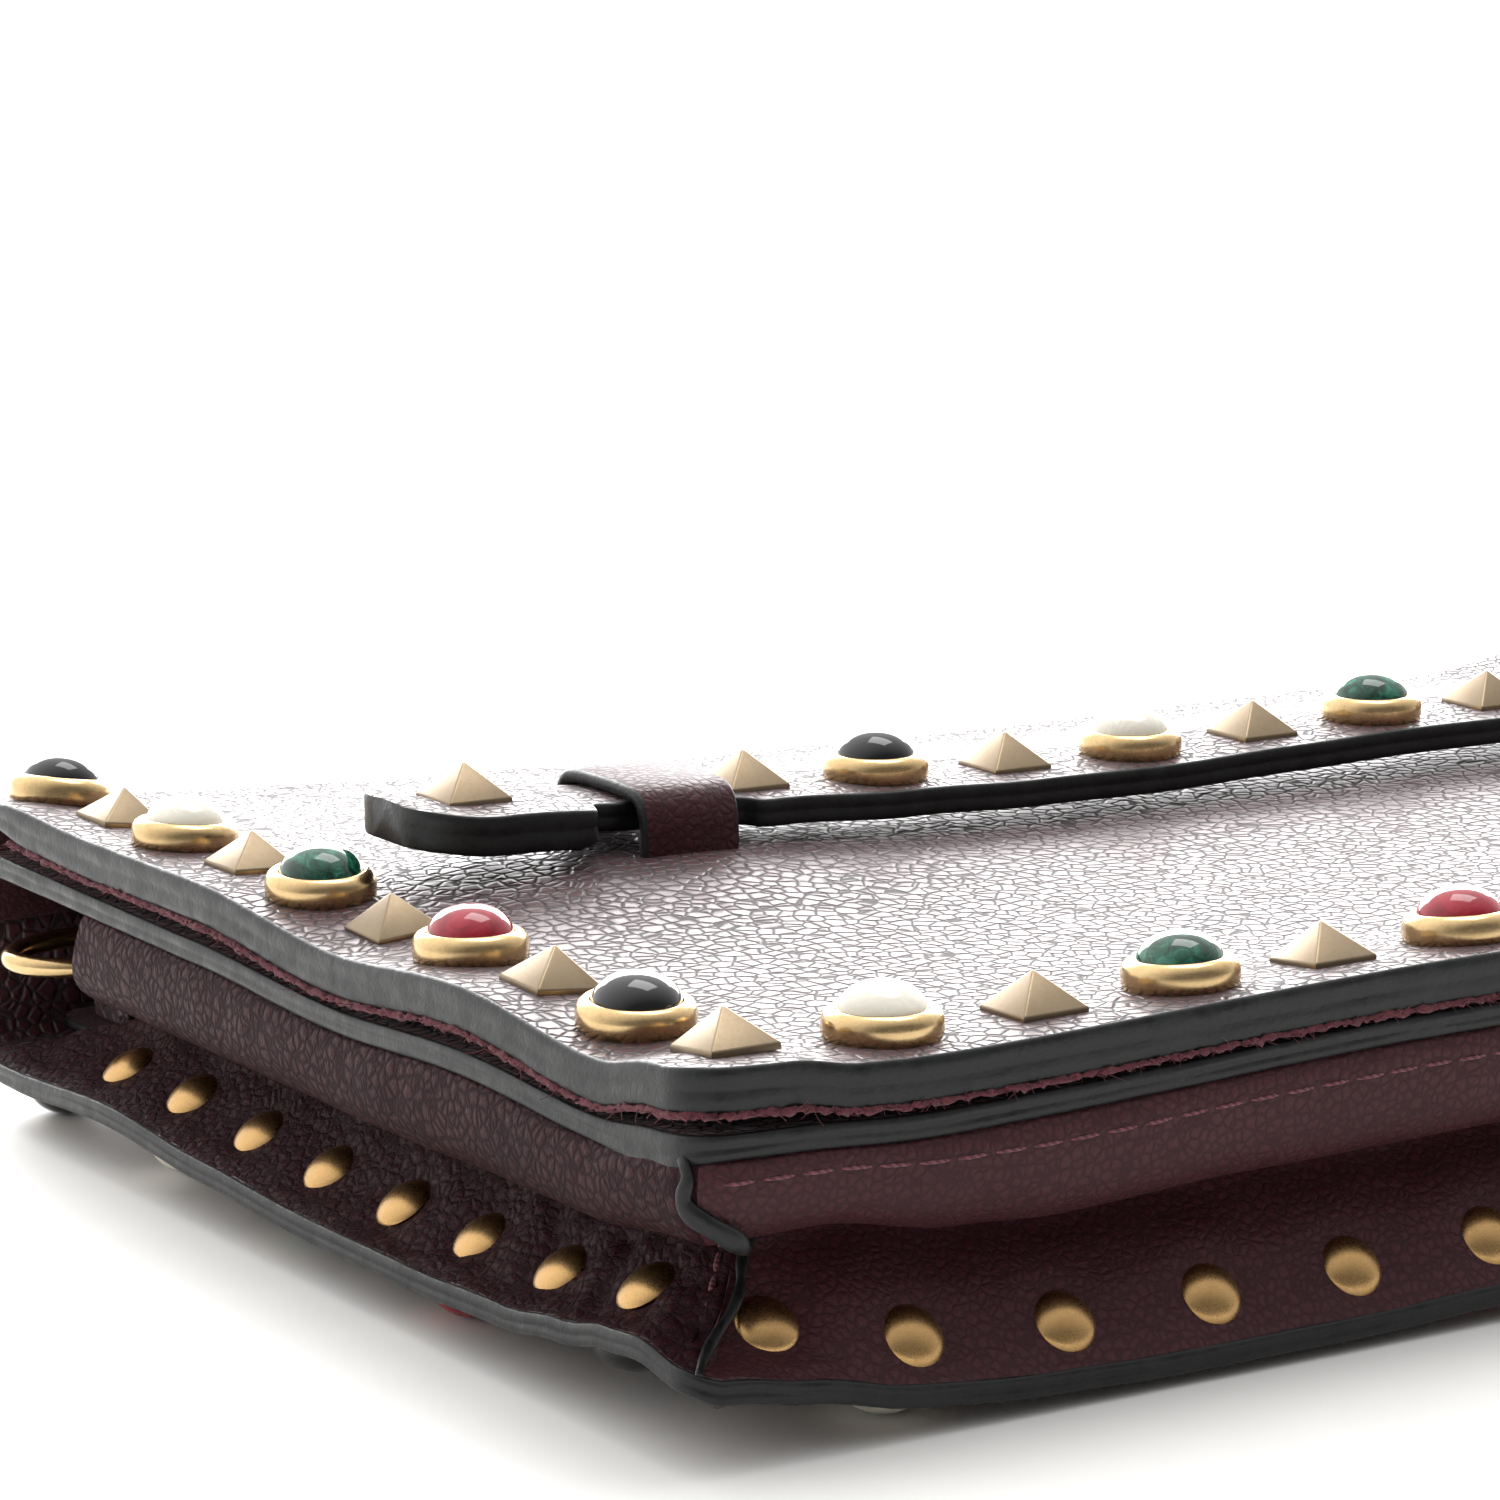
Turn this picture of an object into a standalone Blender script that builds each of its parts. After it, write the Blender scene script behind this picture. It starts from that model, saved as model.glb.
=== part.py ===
"""Studded flap wallet, lying on its back: +X along the long edge, +Y towards the fold at its top, +Z up.

The origin is on the surface that the wallet rests on, under the middle of its outline. Leather plies are
flat here; each panel is a separate sheet, and each metal stud passes through its leather on a square prong.
"""

import math

import bmesh
import bpy
from mathutils import Matrix, Vector

MM = 0.001

# Outline and stud spacing
PITCH_X = 13.0 * MM  # stud to stud along the bottom edge
PITCH_Y = 12.1 * MM  # stud to stud up each side
LAST_ALONG = 14  # index of the last stud along the bottom edge
LAST_UP = 9  # index of the topmost stud up each side
MARGIN = 7.0 * MM  # stud centre to the edge of the leather
WIDTH = LAST_ALONG * PITCH_X + 2 * MARGIN
HEIGHT = 124.0 * MM
LEFT, BOTTOM, TOP = -WIDTH / 2, -HEIGHT / 2, HEIGHT / 2
STUD_X0, STUD_Y0 = LEFT + MARGIN, BOTTOM + MARGIN
FLAP_CORNER = 5.0 * MM
BACK_CORNER = 3.0 * MM

# Heights of the sheets, bottom and top face, from the floor up
BACK_PANEL_Z = (3.9 * MM, 6.1 * MM)
BACK_FIELD_DROP = 0.2 * MM  # the middle of the back stands this much proud of the studded margin
BACK_TAPE_Z = (6.4 * MM, 6.7 * MM)
BACK_LINING_Z = (7.0 * MM, 7.8 * MM)
CARD_SLOT_Z0, CARD_SLOT_STEP, CARD_SLOT_THICK = 8.2 * MM, 1.2 * MM, 0.8 * MM
ZIP_POCKET_Z = (18.4 * MM, 19.2 * MM)
FRONT_LINING_Z = (20.7 * MM, 21.4 * MM)
FRONT_PANEL_Z = (21.7 * MM, 23.8 * MM)
FLAP_LINING_Z = (24.2 * MM, 25.0 * MM)
FLAP_TAPE_Z = (25.3 * MM, 25.6 * MM)
FLAP_OUTER_Z = (25.9 * MM, 27.5 * MM)
STRAP_LINING_Z = (27.9 * MM, 28.8 * MM)
STRAP_TAPE_Z = (29.1 * MM, 29.4 * MM)
STRAP_TOP_Z = (29.7 * MM, 31.2 * MM)

# Fold of the leather over the top of the wallet
SPINE_Y = (60.6 * MM, 62.0 * MM)
SPINE_Z = (7.2 * MM, 25.0 * MM)
FLAP_END = 60.2 * MM
FRONT_TOP = 50.0 * MM
BACK_TOP = 60.2 * MM

# Studs
LIFT = 0.2 * MM  # gap between a stud and the leather under it
PYRAMID_HALF, PYRAMID_SKIRT, PYRAMID_HEIGHT = 2.85 * MM, 0.4 * MM, 2.95 * MM
BEZEL_RADIUS, BEZEL_HEIGHT, STONE_SEAT = 4.4 * MM, 2.1 * MM, 1.1 * MM
STONE_RADIUS, STONE_TOP = 3.15 * MM, 3.7 * MM
RIVET_RADIUS, RIVET_HEIGHT = 2.3 * MM, 1.0 * MM
PRONG, PRONG_HOLE, TAPE_WIDTH = 1.0 * MM, 1.8 * MM, 2.4 * MM
ROUND_STEPS, RIVET_STEPS = 10, 8

# Gusset: its section as (inset from the outline, height) along the middle of the leather
GUSSET_THICK = 1.2 * MM
GUSSET_TOP_END = 42.5 * MM
GUSSET_SECTION = [
    (1.3, 21.0), (0.9, 19.3), (1.2, 17.7), (3.4, 16.4), (8.6, 15.2),
    (9.6, 14.5), (8.8, 13.6), (5.0, 10.5), (2.4, 8.2), (1.3, 7.05),
]
RIVET_INSET, RIVET_Z = 3.7 * MM, 9.35 * MM
SEAM_GAP = 0.65 * MM  # half the space left at a corner for its seam
SEAM_THICK = 0.5 * MM

# Hand strap and its keepers
STRAP_Y = 5.7 * MM
STRAP_HALF, NECK_HALF, TAB_HALF = 6.0 * MM, 4.75 * MM, 7.5 * MM
SHOULDER_X, TAB_INNER_X, TAB_OUTER_X = 54.0 * MM, 70.0 * MM, 85.0 * MM
TAB_CORNER = 5.0 * MM
TAB_STUD_X = 78.0 * MM
STRAP_STUDS = 9
KEEPER_X = (56.0 * MM, 65.0 * MM)  # clear of the strap's shoulders and end studs as it slides
KEEPER_INNER, KEEPER_OUTER = 5.9 * MM, 7.4 * MM
KEEPER_Z = (27.8 * MM, 31.6 * MM, 33.0 * MM)  # foot, inside and outside of its top

# Rings for the chain, one at the top of each side
RING_BAR_X, RING_Y, RING_Z = 87.0 * MM, 51.0 * MM, 14.6 * MM
RING_REACH, RING_HALF, RING_WIRE = 10.0 * MM, 6.5 * MM, 0.9 * MM
LOOP_INNER, LOOP_OUTER, LOOP_HALF = 1.3 * MM, 2.2 * MM, 3.6 * MM

# Inside
LINING_INSET = 4.0 * MM
SLOT_HALF, SLOT_BOTTOM, SLOT_TOPS = 80.0 * MM, -50.0 * MM, (38.0 * MM, 26.0 * MM, 14.0 * MM)
POCKET_HALF, POCKET_Y = 84.0 * MM, (-50.0 * MM, 30.0 * MM)
ZIP_HALF, ZIP_Y = 80.0 * MM, (31.0 * MM, 34.0 * MM)
SLIDER_X, SLIDER_Y, SLIDER_Z = (-76.0 * MM, -67.0 * MM), (29.6 * MM, 35.4 * MM), (16.4 * MM, 18.0 * MM)
PULL_X, PULL_Y, PULL_Z = (-66.7 * MM, -46.0 * MM), (31.0 * MM, 34.0 * MM), (16.8 * MM, 17.6 * MM)
SNAP_Y, SNAP_RADIUS, SNAP_CLEAR = -36.0 * MM, 6.0 * MM, 0.5 * MM

STONE_ORDER = ["white", "green", "ruby", "black"]  # the colours repeat along the border
COLOURS = {
    "burgundy": ((0.085, 0.016, 0.028), 0.5, 0.0),
    "lining": ((0.060, 0.014, 0.022), 0.7, 0.0),
    "edge": ((0.012, 0.012, 0.013), 0.45, 0.0),
    "brass": ((0.45, 0.30, 0.12), 0.35, 1.0),
    "steel": ((0.35, 0.34, 0.32), 0.35, 1.0),
    "black": ((0.004, 0.004, 0.005), 0.08, 0.0),
    "white": ((0.80, 0.78, 0.70), 0.12, 0.0),
    "green": ((0.010, 0.120, 0.070), 0.12, 0.0),
    "ruby": ((0.350, 0.005, 0.020), 0.12, 0.0),
}

model = None  # the collection of the wallet's pieces
helpers = None  # the collection of cutters and shapes to be joined


def clear_scene():
    for obj in list(bpy.data.objects):
        bpy.data.objects.remove(obj, do_unlink=True)


def new_collection(name):
    collection = bpy.data.collections.new(name)
    bpy.context.scene.collection.children.link(collection)
    return collection


def material(colour):
    found = bpy.data.materials.get(colour)
    if found:
        return found
    rgb, roughness, metallic = COLOURS[colour]
    made = bpy.data.materials.new(colour)
    made.use_nodes = True
    shader = made.node_tree.nodes["Principled BSDF"]
    shader.inputs["Base Color"].default_value = (*rgb, 1.0)
    shader.inputs["Roughness"].default_value = roughness
    shader.inputs["Metallic"].default_value = metallic
    return made


def add_piece(name, mesh, colour):
    mesh.materials.clear()
    mesh.materials.append(material(colour))
    obj = bpy.data.objects.new(name, mesh)
    model.objects.link(obj)
    return obj


def add_helper(name, mesh):
    obj = bpy.data.objects.new(name, mesh)
    helpers.objects.link(obj)
    obj.hide_render = True
    obj.display_type = "WIRE"
    return obj


def combine(obj, other, operation):
    modifier = obj.modifiers.new(other.name, "BOOLEAN")
    modifier.operation = operation
    modifier.object = other
    return obj


def evaluated_mesh(obj):
    """The mesh of a temporary object with its modifiers applied; the object is removed."""
    bpy.context.view_layer.update()
    graph = bpy.context.evaluated_depsgraph_get()
    mesh = bpy.data.meshes.new_from_object(obj.evaluated_get(graph))
    bpy.data.objects.remove(obj, do_unlink=True)
    return mesh


def prism_mesh(name, outline, low, high, place=None):
    """An outline in X and Y, extruded from low to high along Z, then moved by place."""
    curve = bpy.data.curves.new(name, "CURVE")
    curve.dimensions = "2D"
    curve.fill_mode = "BOTH"
    curve.extrude = (high - low) / 2
    spline = curve.splines.new("POLY")
    spline.points.add(len(outline) - 1)
    for point, (x, y) in zip(spline.points, outline):
        point.co = (x, y, 0, 1)
    spline.use_cyclic_u = True
    obj = bpy.data.objects.new(name, curve)
    bpy.context.scene.collection.objects.link(obj)
    mesh = evaluated_mesh(obj)
    edit = bmesh.new()
    edit.from_mesh(mesh)
    bmesh.ops.remove_doubles(edit, verts=edit.verts, dist=1e-6)
    bmesh.ops.recalc_face_normals(edit, faces=edit.faces)
    edit.to_mesh(mesh)
    edit.free()
    mesh.transform((place or Matrix()) @ Matrix.Translation((0, 0, (low + high) / 2)))
    return mesh


def rectangle(x0, x1, y0, y1):
    return [(x0, y0), (x1, y0), (x1, y1), (x0, y1)]


def rounded(x0, x1, y0, y1, radius, top_radius=0.0, steps=4):
    """A rectangle with its bottom corners rounded by radius and its top ones by top_radius."""
    points = []
    for cx, cy, turn, r in (
        (x0 + radius, y0 + radius, 180, radius),
        (x1 - radius, y0 + radius, 270, radius),
        (x1 - top_radius, y1 - top_radius, 0, top_radius),
        (x0 + top_radius, y1 - top_radius, 90, top_radius),
    ):
        if r == 0:
            points.append((cx, cy))
            continue
        for i in range(steps + 1):
            angle = math.radians(turn + 90 * i / steps)
            points.append((cx + r * math.cos(angle), cy + r * math.sin(angle)))
    return points


def disc(radius, cx, cy, steps=16):
    turn = 2 * math.pi / steps
    return [(cx + radius * math.cos(i * turn), cy + radius * math.sin(i * turn)) for i in range(steps)]


def box_mesh(name, x, y, z):
    return prism_mesh(name, rectangle(x[0], x[1], y[0], y[1]), z[0], z[1])


def turned_mesh(name, profile, steps):
    """A solid turned about Z from (radius, height) pairs, from the top centre to the bottom centre."""
    mesh = bpy.data.meshes.new(name)
    edges = [(i, i + 1) for i in range(len(profile) - 1)]
    mesh.from_pydata([(radius, 0, height) for radius, height in profile], edges, [])
    obj = bpy.data.objects.new(name, mesh)
    bpy.context.scene.collection.objects.link(obj)
    screw = obj.modifiers.new("turn", "SCREW")
    screw.steps = screw.render_steps = steps
    screw.use_merge_vertices = True
    screw.merge_threshold = 1e-5
    return evaluated_mesh(obj)


def pyramid_mesh():
    """A four-sided pyramid stud on a thin square skirt, standing on Z = 0."""
    edit = bmesh.new()
    side = PYRAMID_HALF * math.sqrt(2)
    turn = Matrix.Rotation(math.pi / 4, 4, "Z")
    cap_height = PYRAMID_HEIGHT - PYRAMID_SKIRT
    bmesh.ops.create_cone(
        edit, cap_ends=True, segments=4, radius1=side, radius2=0, depth=cap_height,
        matrix=Matrix.Translation((0, 0, PYRAMID_SKIRT + cap_height / 2)) @ turn,
    )
    bottom = min(edit.faces, key=lambda face: face.calc_center_median().z)
    raised = bmesh.ops.extrude_face_region(edit, geom=[bottom])["geom"]
    bmesh.ops.translate(
        edit, vec=(0, 0, -PYRAMID_SKIRT), verts=[v for v in raised if isinstance(v, bmesh.types.BMVert)]
    )
    bmesh.ops.delete(edit, geom=[bottom], context="FACES_ONLY")
    bmesh.ops.recalc_face_normals(edit, faces=edit.faces)
    mesh = bpy.data.meshes.new("pyramid")
    edit.to_mesh(mesh)
    edit.free()
    return mesh


def bezel_mesh():
    """A round setting with a blind seat for its stone."""
    profile = [
        (0, STONE_SEAT), (STONE_RADIUS + 0.3 * MM, STONE_SEAT), (STONE_RADIUS + 0.3 * MM, BEZEL_HEIGHT),
        (BEZEL_RADIUS - 0.4 * MM, BEZEL_HEIGHT), (BEZEL_RADIUS, 0), (0, 0),
    ]
    return turned_mesh("bezel", profile, ROUND_STEPS)


def stone_mesh():
    """A domed stone that sits in a bezel's seat."""
    foot = STONE_SEAT + LIFT
    profile = [
        (0, STONE_TOP), (0.72 * STONE_RADIUS, STONE_TOP - 0.6 * MM), (STONE_RADIUS, BEZEL_HEIGHT - 0.3 * MM),
        (STONE_RADIUS, foot), (0, foot),
    ]
    return turned_mesh("stone", profile, ROUND_STEPS)


def cabochon_mesh():
    """A setting and its stone as one solid, for the studs of the back."""
    profile = [
        (0, STONE_TOP), (2.6 * MM, 3.0 * MM), (BEZEL_RADIUS - 0.3 * MM, BEZEL_HEIGHT), (BEZEL_RADIUS, 0),
        (0, 0),
    ]
    return turned_mesh("cabochon", profile, RIVET_STEPS)


def rivet_mesh():
    profile = [(0, RIVET_HEIGHT), (1.5 * MM, 0.75 * RIVET_HEIGHT), (RIVET_RADIUS, 0), (0, 0)]
    return turned_mesh("rivet", profile, RIVET_STEPS)


def prong_mesh(width, low, high):
    half = width / 2
    return box_mesh("prong", (-half, half), (-half, half), (low, high))


def gathered(name, items):
    """One mesh that holds a copy of each (mesh, matrix)."""
    edit = bmesh.new()
    for mesh, place in items:
        start = len(edit.verts)
        edit.from_mesh(mesh)
        edit.verts.ensure_lookup_table()
        bmesh.ops.transform(edit, matrix=place, verts=edit.verts[start:])
    made = bpy.data.meshes.new(name)
    edit.to_mesh(made)
    edit.free()
    return made


def stud_row(name, heads, depth, leather=()):
    """Heads on one tape: each stands on its place's +Z, and its prong reaches the tape under the leather.

    heads holds (mesh, matrix) pairs, and depth is from the leather's surface to the middle of the tape. Each
    sheet in leather gets a clearance hole at every prong.
    """
    places = [place for _, place in heads]
    first, last = places[0], places[-1]
    length = (last.translation - first.translation).length
    along = (last.translation - first.translation).normalized()
    up = first.to_3x3().col[2].normalized()
    across = up.cross(along)
    turn = Matrix((along, across, up)).transposed().to_4x4()
    reach, half = TAPE_WIDTH / 2, 0.15 * MM
    tape = box_mesh(name, (-reach, length + reach), (-reach, reach), (-depth - half, -depth + half))
    tape.transform(Matrix.Translation(first.translation) @ turn)
    row = add_piece(name, tape, "brass")
    lift = Matrix.Translation((0, 0, LIFT))
    prong = prong_mesh(PRONG, -depth, LIFT + 0.3 * MM)
    prongs = gathered("prongs", [(prong, place) for place in places])
    combine(row, add_helper(name + "_prongs", prongs), "UNION")
    caps = gathered("heads", [(mesh, place @ lift) for mesh, place in heads])
    combine(row, add_helper(name + "_heads", caps), "UNION")
    hole = prong_mesh(PRONG_HOLE, -depth - 0.1 * MM, 1.0 * MM)
    cutter = add_helper(name + "_holes", gathered("holes", [(hole, place) for place in places]))
    for sheet in leather:
        combine(sheet, cutter, "DIFFERENCE")
    return row


def border_places(surface_z, facing_up):
    """The bottom, left and right rows of (index round the border, matrix) places."""
    flip = Matrix() if facing_up else Matrix.Rotation(math.pi, 4, "X")
    bottom = [(i, STUD_X0 + i * PITCH_X, STUD_Y0) for i in range(LAST_ALONG + 1)]
    left = [(j, STUD_X0, STUD_Y0 + j * PITCH_Y) for j in range(1, LAST_UP + 1)]
    right = [(j, -STUD_X0, STUD_Y0 + j * PITCH_Y) for j in range(1, LAST_UP + 1)]
    rows = {"bottom": bottom, "left": left, "right": right}
    return {
        side: [(i, Matrix.Translation((x, y, surface_z)) @ flip) for i, x, y in row]
        for side, row in rows.items()
    }


def stone_colour(side, index):
    """Colours repeat along the bottom from the left corner, and in reverse order up the left side."""
    step = (index - 1) // 2
    if side == "bottom":
        return STONE_ORDER[step % 4]
    if side == "left":
        return STONE_ORDER[(-1 - step) % 4]
    return STONE_ORDER[(step + LAST_ALONG // 2) % 4]


def gusset_corner(inset, height, turn, shift=(0, 0)):
    """A shifted point of the bottom-left corner, at a turn from 0, the left side, to 1, the bottom."""
    foot, head = GUSSET_SECTION[-1][1] * MM, GUSSET_SECTION[0][1] * MM
    rise = (height - foot) / (head - foot)
    outer = BACK_CORNER + rise * (FLAP_CORNER - BACK_CORNER)
    radius = max(outer - inset, 0.8 * MM)
    angle = math.radians(180 + 90 * turn)
    x = LEFT + inset + radius + radius * math.cos(angle)
    y = BOTTOM + inset + radius + radius * math.sin(angle)
    return Vector((x + shift[0], y + shift[1], height))


def sheet_mesh(name, rows):
    """An open surface through rows of points."""
    across = len(rows[0])
    faces = [
        (i * across + j, i * across + j + 1, (i + 1) * across + j + 1, (i + 1) * across + j)
        for i in range(len(rows) - 1)
        for j in range(across - 1)
    ]
    mesh = bpy.data.meshes.new(name)
    mesh.from_pydata([point for row in rows for point in row], [], faces)
    return mesh


def thicken(obj, thickness):
    modifier = obj.modifiers.new("thickness", "SOLIDIFY")
    modifier.thickness = thickness
    modifier.offset = 0
    return obj


def mirrored_x(points):
    return [Vector((-p.x, p.y, p.z)) for p in points]


def gusset_rows(side):
    """Rows of section points from one end of a gusset piece to the other."""
    section = [(inset * MM, height * MM) for inset, height in GUSSET_SECTION]
    if side == "bottom":
        shift = (SEAM_GAP * math.sqrt(2), 0)
        left = [[gusset_corner(d, z, turn, shift) for d, z in section] for turn in (0.5, 0.75, 1.0)]
        return left + [mirrored_x(row) for row in reversed(left)]
    shift = (0, SEAM_GAP * math.sqrt(2))
    rows = [[Vector((LEFT + d, GUSSET_TOP_END, z)) for d, z in section]]
    rows += [[gusset_corner(d, z, turn, shift) for d, z in section] for turn in (0, 0.25, 0.5)]
    return rows if side == "left" else [mirrored_x(row) for row in reversed(rows)]


def rivet_places(side):
    """Places on the lower half of the gusset, each facing out and up from the slope."""
    slope = (Vector(GUSSET_SECTION[8]) - Vector(GUSSET_SECTION[7])).normalized()
    out, up = -abs(slope.y), abs(slope.x)  # the slope's normal, as (towards the middle, up)
    half = GUSSET_THICK / 2
    inset, height = RIVET_INSET + out * half, RIVET_Z + up * half
    if side == "bottom":
        normal = Vector((0, out, up))
        along = Vector((1, 0, 0))
        spots = [Vector((STUD_X0 + i * PITCH_X, BOTTOM + inset, height)) for i in range(LAST_ALONG + 1)]
    else:
        sign = 1 if side == "left" else -1
        normal = Vector((sign * out, 0, up))
        along = Vector((0, 1, 0))
        last = LAST_UP - 1
        spots = [Vector((sign * (LEFT + inset), STUD_Y0 + j * PITCH_Y, height)) for j in range(1, last + 1)]
    across = normal.cross(along)
    turn = Matrix((along, across, normal)).transposed().to_4x4()
    return [Matrix.Translation(spot) @ turn for spot in spots]


def build_back():
    outline = rounded(LEFT, -LEFT, BOTTOM, BACK_TOP, BACK_CORNER)
    panel = add_piece("back_panel", prism_mesh("back_panel", outline, *BACK_PANEL_Z), "burgundy")
    clear = 2.2 * MARGIN
    field = rounded(LEFT + clear, -LEFT - clear, BOTTOM + clear, TOP - MARGIN, 4 * MM, 4 * MM)
    low = BACK_PANEL_Z[0] - BACK_FIELD_DROP
    combine(panel, add_helper("back_field", prism_mesh("back_field", field, low, low + 1.0 * MM)), "UNION")
    inset = LINING_INSET
    lining = rounded(LEFT + inset, -LEFT - inset, BOTTOM + inset, BACK_TOP - 1 * MM, BACK_CORNER)
    add_piece("back_lining", prism_mesh("back_lining", lining, *BACK_LINING_Z), "lining")
    pyramid, cabochon = pyramid_mesh(), cabochon_mesh()
    depth = sum(BACK_TAPE_Z) / 2 - BACK_PANEL_Z[0]
    for side, row in border_places(BACK_PANEL_Z[0], facing_up=False).items():
        heads = [(cabochon if i % 2 else pyramid, place) for i, place in row]
        stud_row("back_studs_" + side, heads, depth, leather=[panel])


def build_gusset():
    for side in ("bottom", "left", "right"):
        name = "gusset_" + side
        gusset = thicken(add_piece(name, sheet_mesh(name, gusset_rows(side)), "burgundy"), GUSSET_THICK)
        heads = [(rivet_mesh(), place) for place in rivet_places(side)]
        stud_row("gusset_rivets_" + side, heads, GUSSET_THICK + 0.5 * MM, leather=[gusset])
    fold, foot = [(d * MM, z * MM) for d, z in (GUSSET_SECTION[6], GUSSET_SECTION[9])]
    out = 0.9 * MM
    corners = [gusset_corner(d, z, 0.5) for d, z in (fold, foot)]
    step = Vector((-out / 2, -out / 2, out / math.sqrt(2)))
    strip = [[corners[0] - step, corners[1] - step / 4], [corners[0] + step, corners[1] + step]]
    for side, rows in (("left", strip), ("right", [mirrored_x(row) for row in reversed(strip)])):
        name = "corner_seam_" + side
        thicken(add_piece(name, sheet_mesh(name, rows), "edge"), SEAM_THICK)


def build_front():
    inset = 0.4 * MM
    outline = rounded(LEFT + inset, -LEFT - inset, BOTTOM + inset, FRONT_TOP, FLAP_CORNER)
    panel = add_piece("front_panel", prism_mesh("front_panel", outline, *FRONT_PANEL_Z), "burgundy")
    hole = disc(SNAP_RADIUS + 2 * SNAP_CLEAR, 0, SNAP_Y)
    cutter = prism_mesh("hole", hole, FRONT_PANEL_Z[0] - MM, FRONT_PANEL_Z[1] + MM)
    combine(panel, add_helper("snap_socket_hole", cutter), "DIFFERENCE")
    socket = disc(SNAP_RADIUS + SNAP_CLEAR, 0, SNAP_Y)
    add_piece("snap_socket", prism_mesh("snap_socket", socket, FRONT_PANEL_Z[0], FRONT_PANEL_Z[1]), "steel")
    inset = LINING_INSET
    lining = rounded(LEFT + inset, -LEFT - inset, BOTTOM + inset, FRONT_TOP - 1 * MM, FLAP_CORNER)
    add_piece("front_lining", prism_mesh("front_lining", lining, *FRONT_LINING_Z), "lining")


def build_inside():
    for i, top in enumerate(SLOT_TOPS):
        low = CARD_SLOT_Z0 + i * CARD_SLOT_STEP
        name = f"card_slot_{i + 1}"
        mesh = box_mesh(name, (-SLOT_HALF, SLOT_HALF), (SLOT_BOTTOM, top), (low, low + CARD_SLOT_THICK))
        add_piece(name, mesh, "lining")
    for name, x, y, z, colour in (
        ("zip_pocket", (-POCKET_HALF, POCKET_HALF), POCKET_Y, ZIP_POCKET_Z, "lining"),
        ("zip_teeth", (-ZIP_HALF, ZIP_HALF), ZIP_Y, ZIP_POCKET_Z, "brass"),
        ("zip_slider", SLIDER_X, SLIDER_Y, SLIDER_Z, "brass"),
        ("zip_pull", PULL_X, PULL_Y, PULL_Z, "burgundy"),
    ):
        add_piece(name, box_mesh(name, x, y, z), colour)


def build_spine():
    mesh = box_mesh("spine", (LEFT + 1 * MM, -LEFT - 1 * MM), SPINE_Y, SPINE_Z)
    add_piece("spine", mesh, "burgundy")


def build_flap():
    outline = rounded(LEFT, -LEFT, BOTTOM, FLAP_END, FLAP_CORNER)
    outer = add_piece("flap_outer", prism_mesh("flap_outer", outline, *FLAP_OUTER_Z), "burgundy")
    lining = add_piece("flap_lining", prism_mesh("flap_lining", outline, *FLAP_LINING_Z), "lining")
    hole = disc(SNAP_RADIUS + SNAP_CLEAR, 0, SNAP_Y)
    cutter = prism_mesh("hole", hole, FLAP_LINING_Z[0] - MM, FLAP_LINING_Z[1] + 0.2 * MM)
    combine(lining, add_helper("snap_stud_hole", cutter), "DIFFERENCE")
    add_piece("snap_stud", prism_mesh("snap_stud", disc(SNAP_RADIUS, 0, SNAP_Y), *FLAP_LINING_Z), "steel")
    surface = FLAP_OUTER_Z[1]
    depth = surface - sum(FLAP_TAPE_Z) / 2
    pyramid, bezel, stone = pyramid_mesh(), bezel_mesh(), stone_mesh()
    lift = Matrix.Translation((0, 0, LIFT))
    for side, row in border_places(surface, facing_up=True).items():
        heads = [(bezel if i % 2 else pyramid, place) for i, place in row]
        stud_row("flap_studs_" + side, heads, depth, leather=[outer])
        for i, place in row:
            if i % 2 == 0:
                continue
            colour = stone_colour(side, i)
            piece = add_piece(f"stone_{side}_{i}_{colour}", stone.copy(), colour)
            piece.matrix_world = place @ lift
    build_keepers()


def build_keepers():
    foot, inner, outer = KEEPER_Z
    bevel = 1.2 * MM
    wide, slim = KEEPER_OUTER, KEEPER_INNER
    section = [
        (-wide, foot), (-slim, foot), (-slim, inner - bevel), (-slim + bevel, inner),
        (slim - bevel, inner), (slim, inner - bevel), (slim, foot), (wide, foot),
        (wide, outer - 2 * bevel), (wide - 2 * bevel, outer),
        (-wide + 2 * bevel, outer), (-wide, outer - 2 * bevel),
    ]
    # the section lies in Y and Z, and is extruded along X
    turn = Matrix(((0, 0, 1), (1, 0, 0), (0, 1, 0))).to_4x4()
    stand = Matrix.Translation((0, STRAP_Y, 0)) @ turn
    near, far = KEEPER_X
    add_piece("keeper_left", prism_mesh("keeper_left", section, -far, -near, stand), "burgundy")
    add_piece("keeper_right", prism_mesh("keeper_right", section, near, far, stand), "burgundy")


def strap_outline():
    """A long strap with a slim neck and a wide rounded tab at each end."""
    right = [
        (SHOULDER_X, -STRAP_HALF), (SHOULDER_X + 1.0 * MM, -NECK_HALF), (TAB_INNER_X - 1.0 * MM, -NECK_HALF),
        (TAB_INNER_X, -TAB_HALF),
    ]
    for centre_y, start in ((-TAB_HALF + TAB_CORNER, -90), (TAB_HALF - TAB_CORNER, 0)):
        for i in range(4):
            angle = math.radians(start + 30 * i)
            x = TAB_OUTER_X - TAB_CORNER + TAB_CORNER * math.cos(angle)
            right.append((x, centre_y + TAB_CORNER * math.sin(angle)))
    right += [(x, -y) for x, y in reversed(right[:4])]
    outline = right + [(-x, -y) for x, y in right]
    return [(x, y + STRAP_Y) for x, y in outline]


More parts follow.
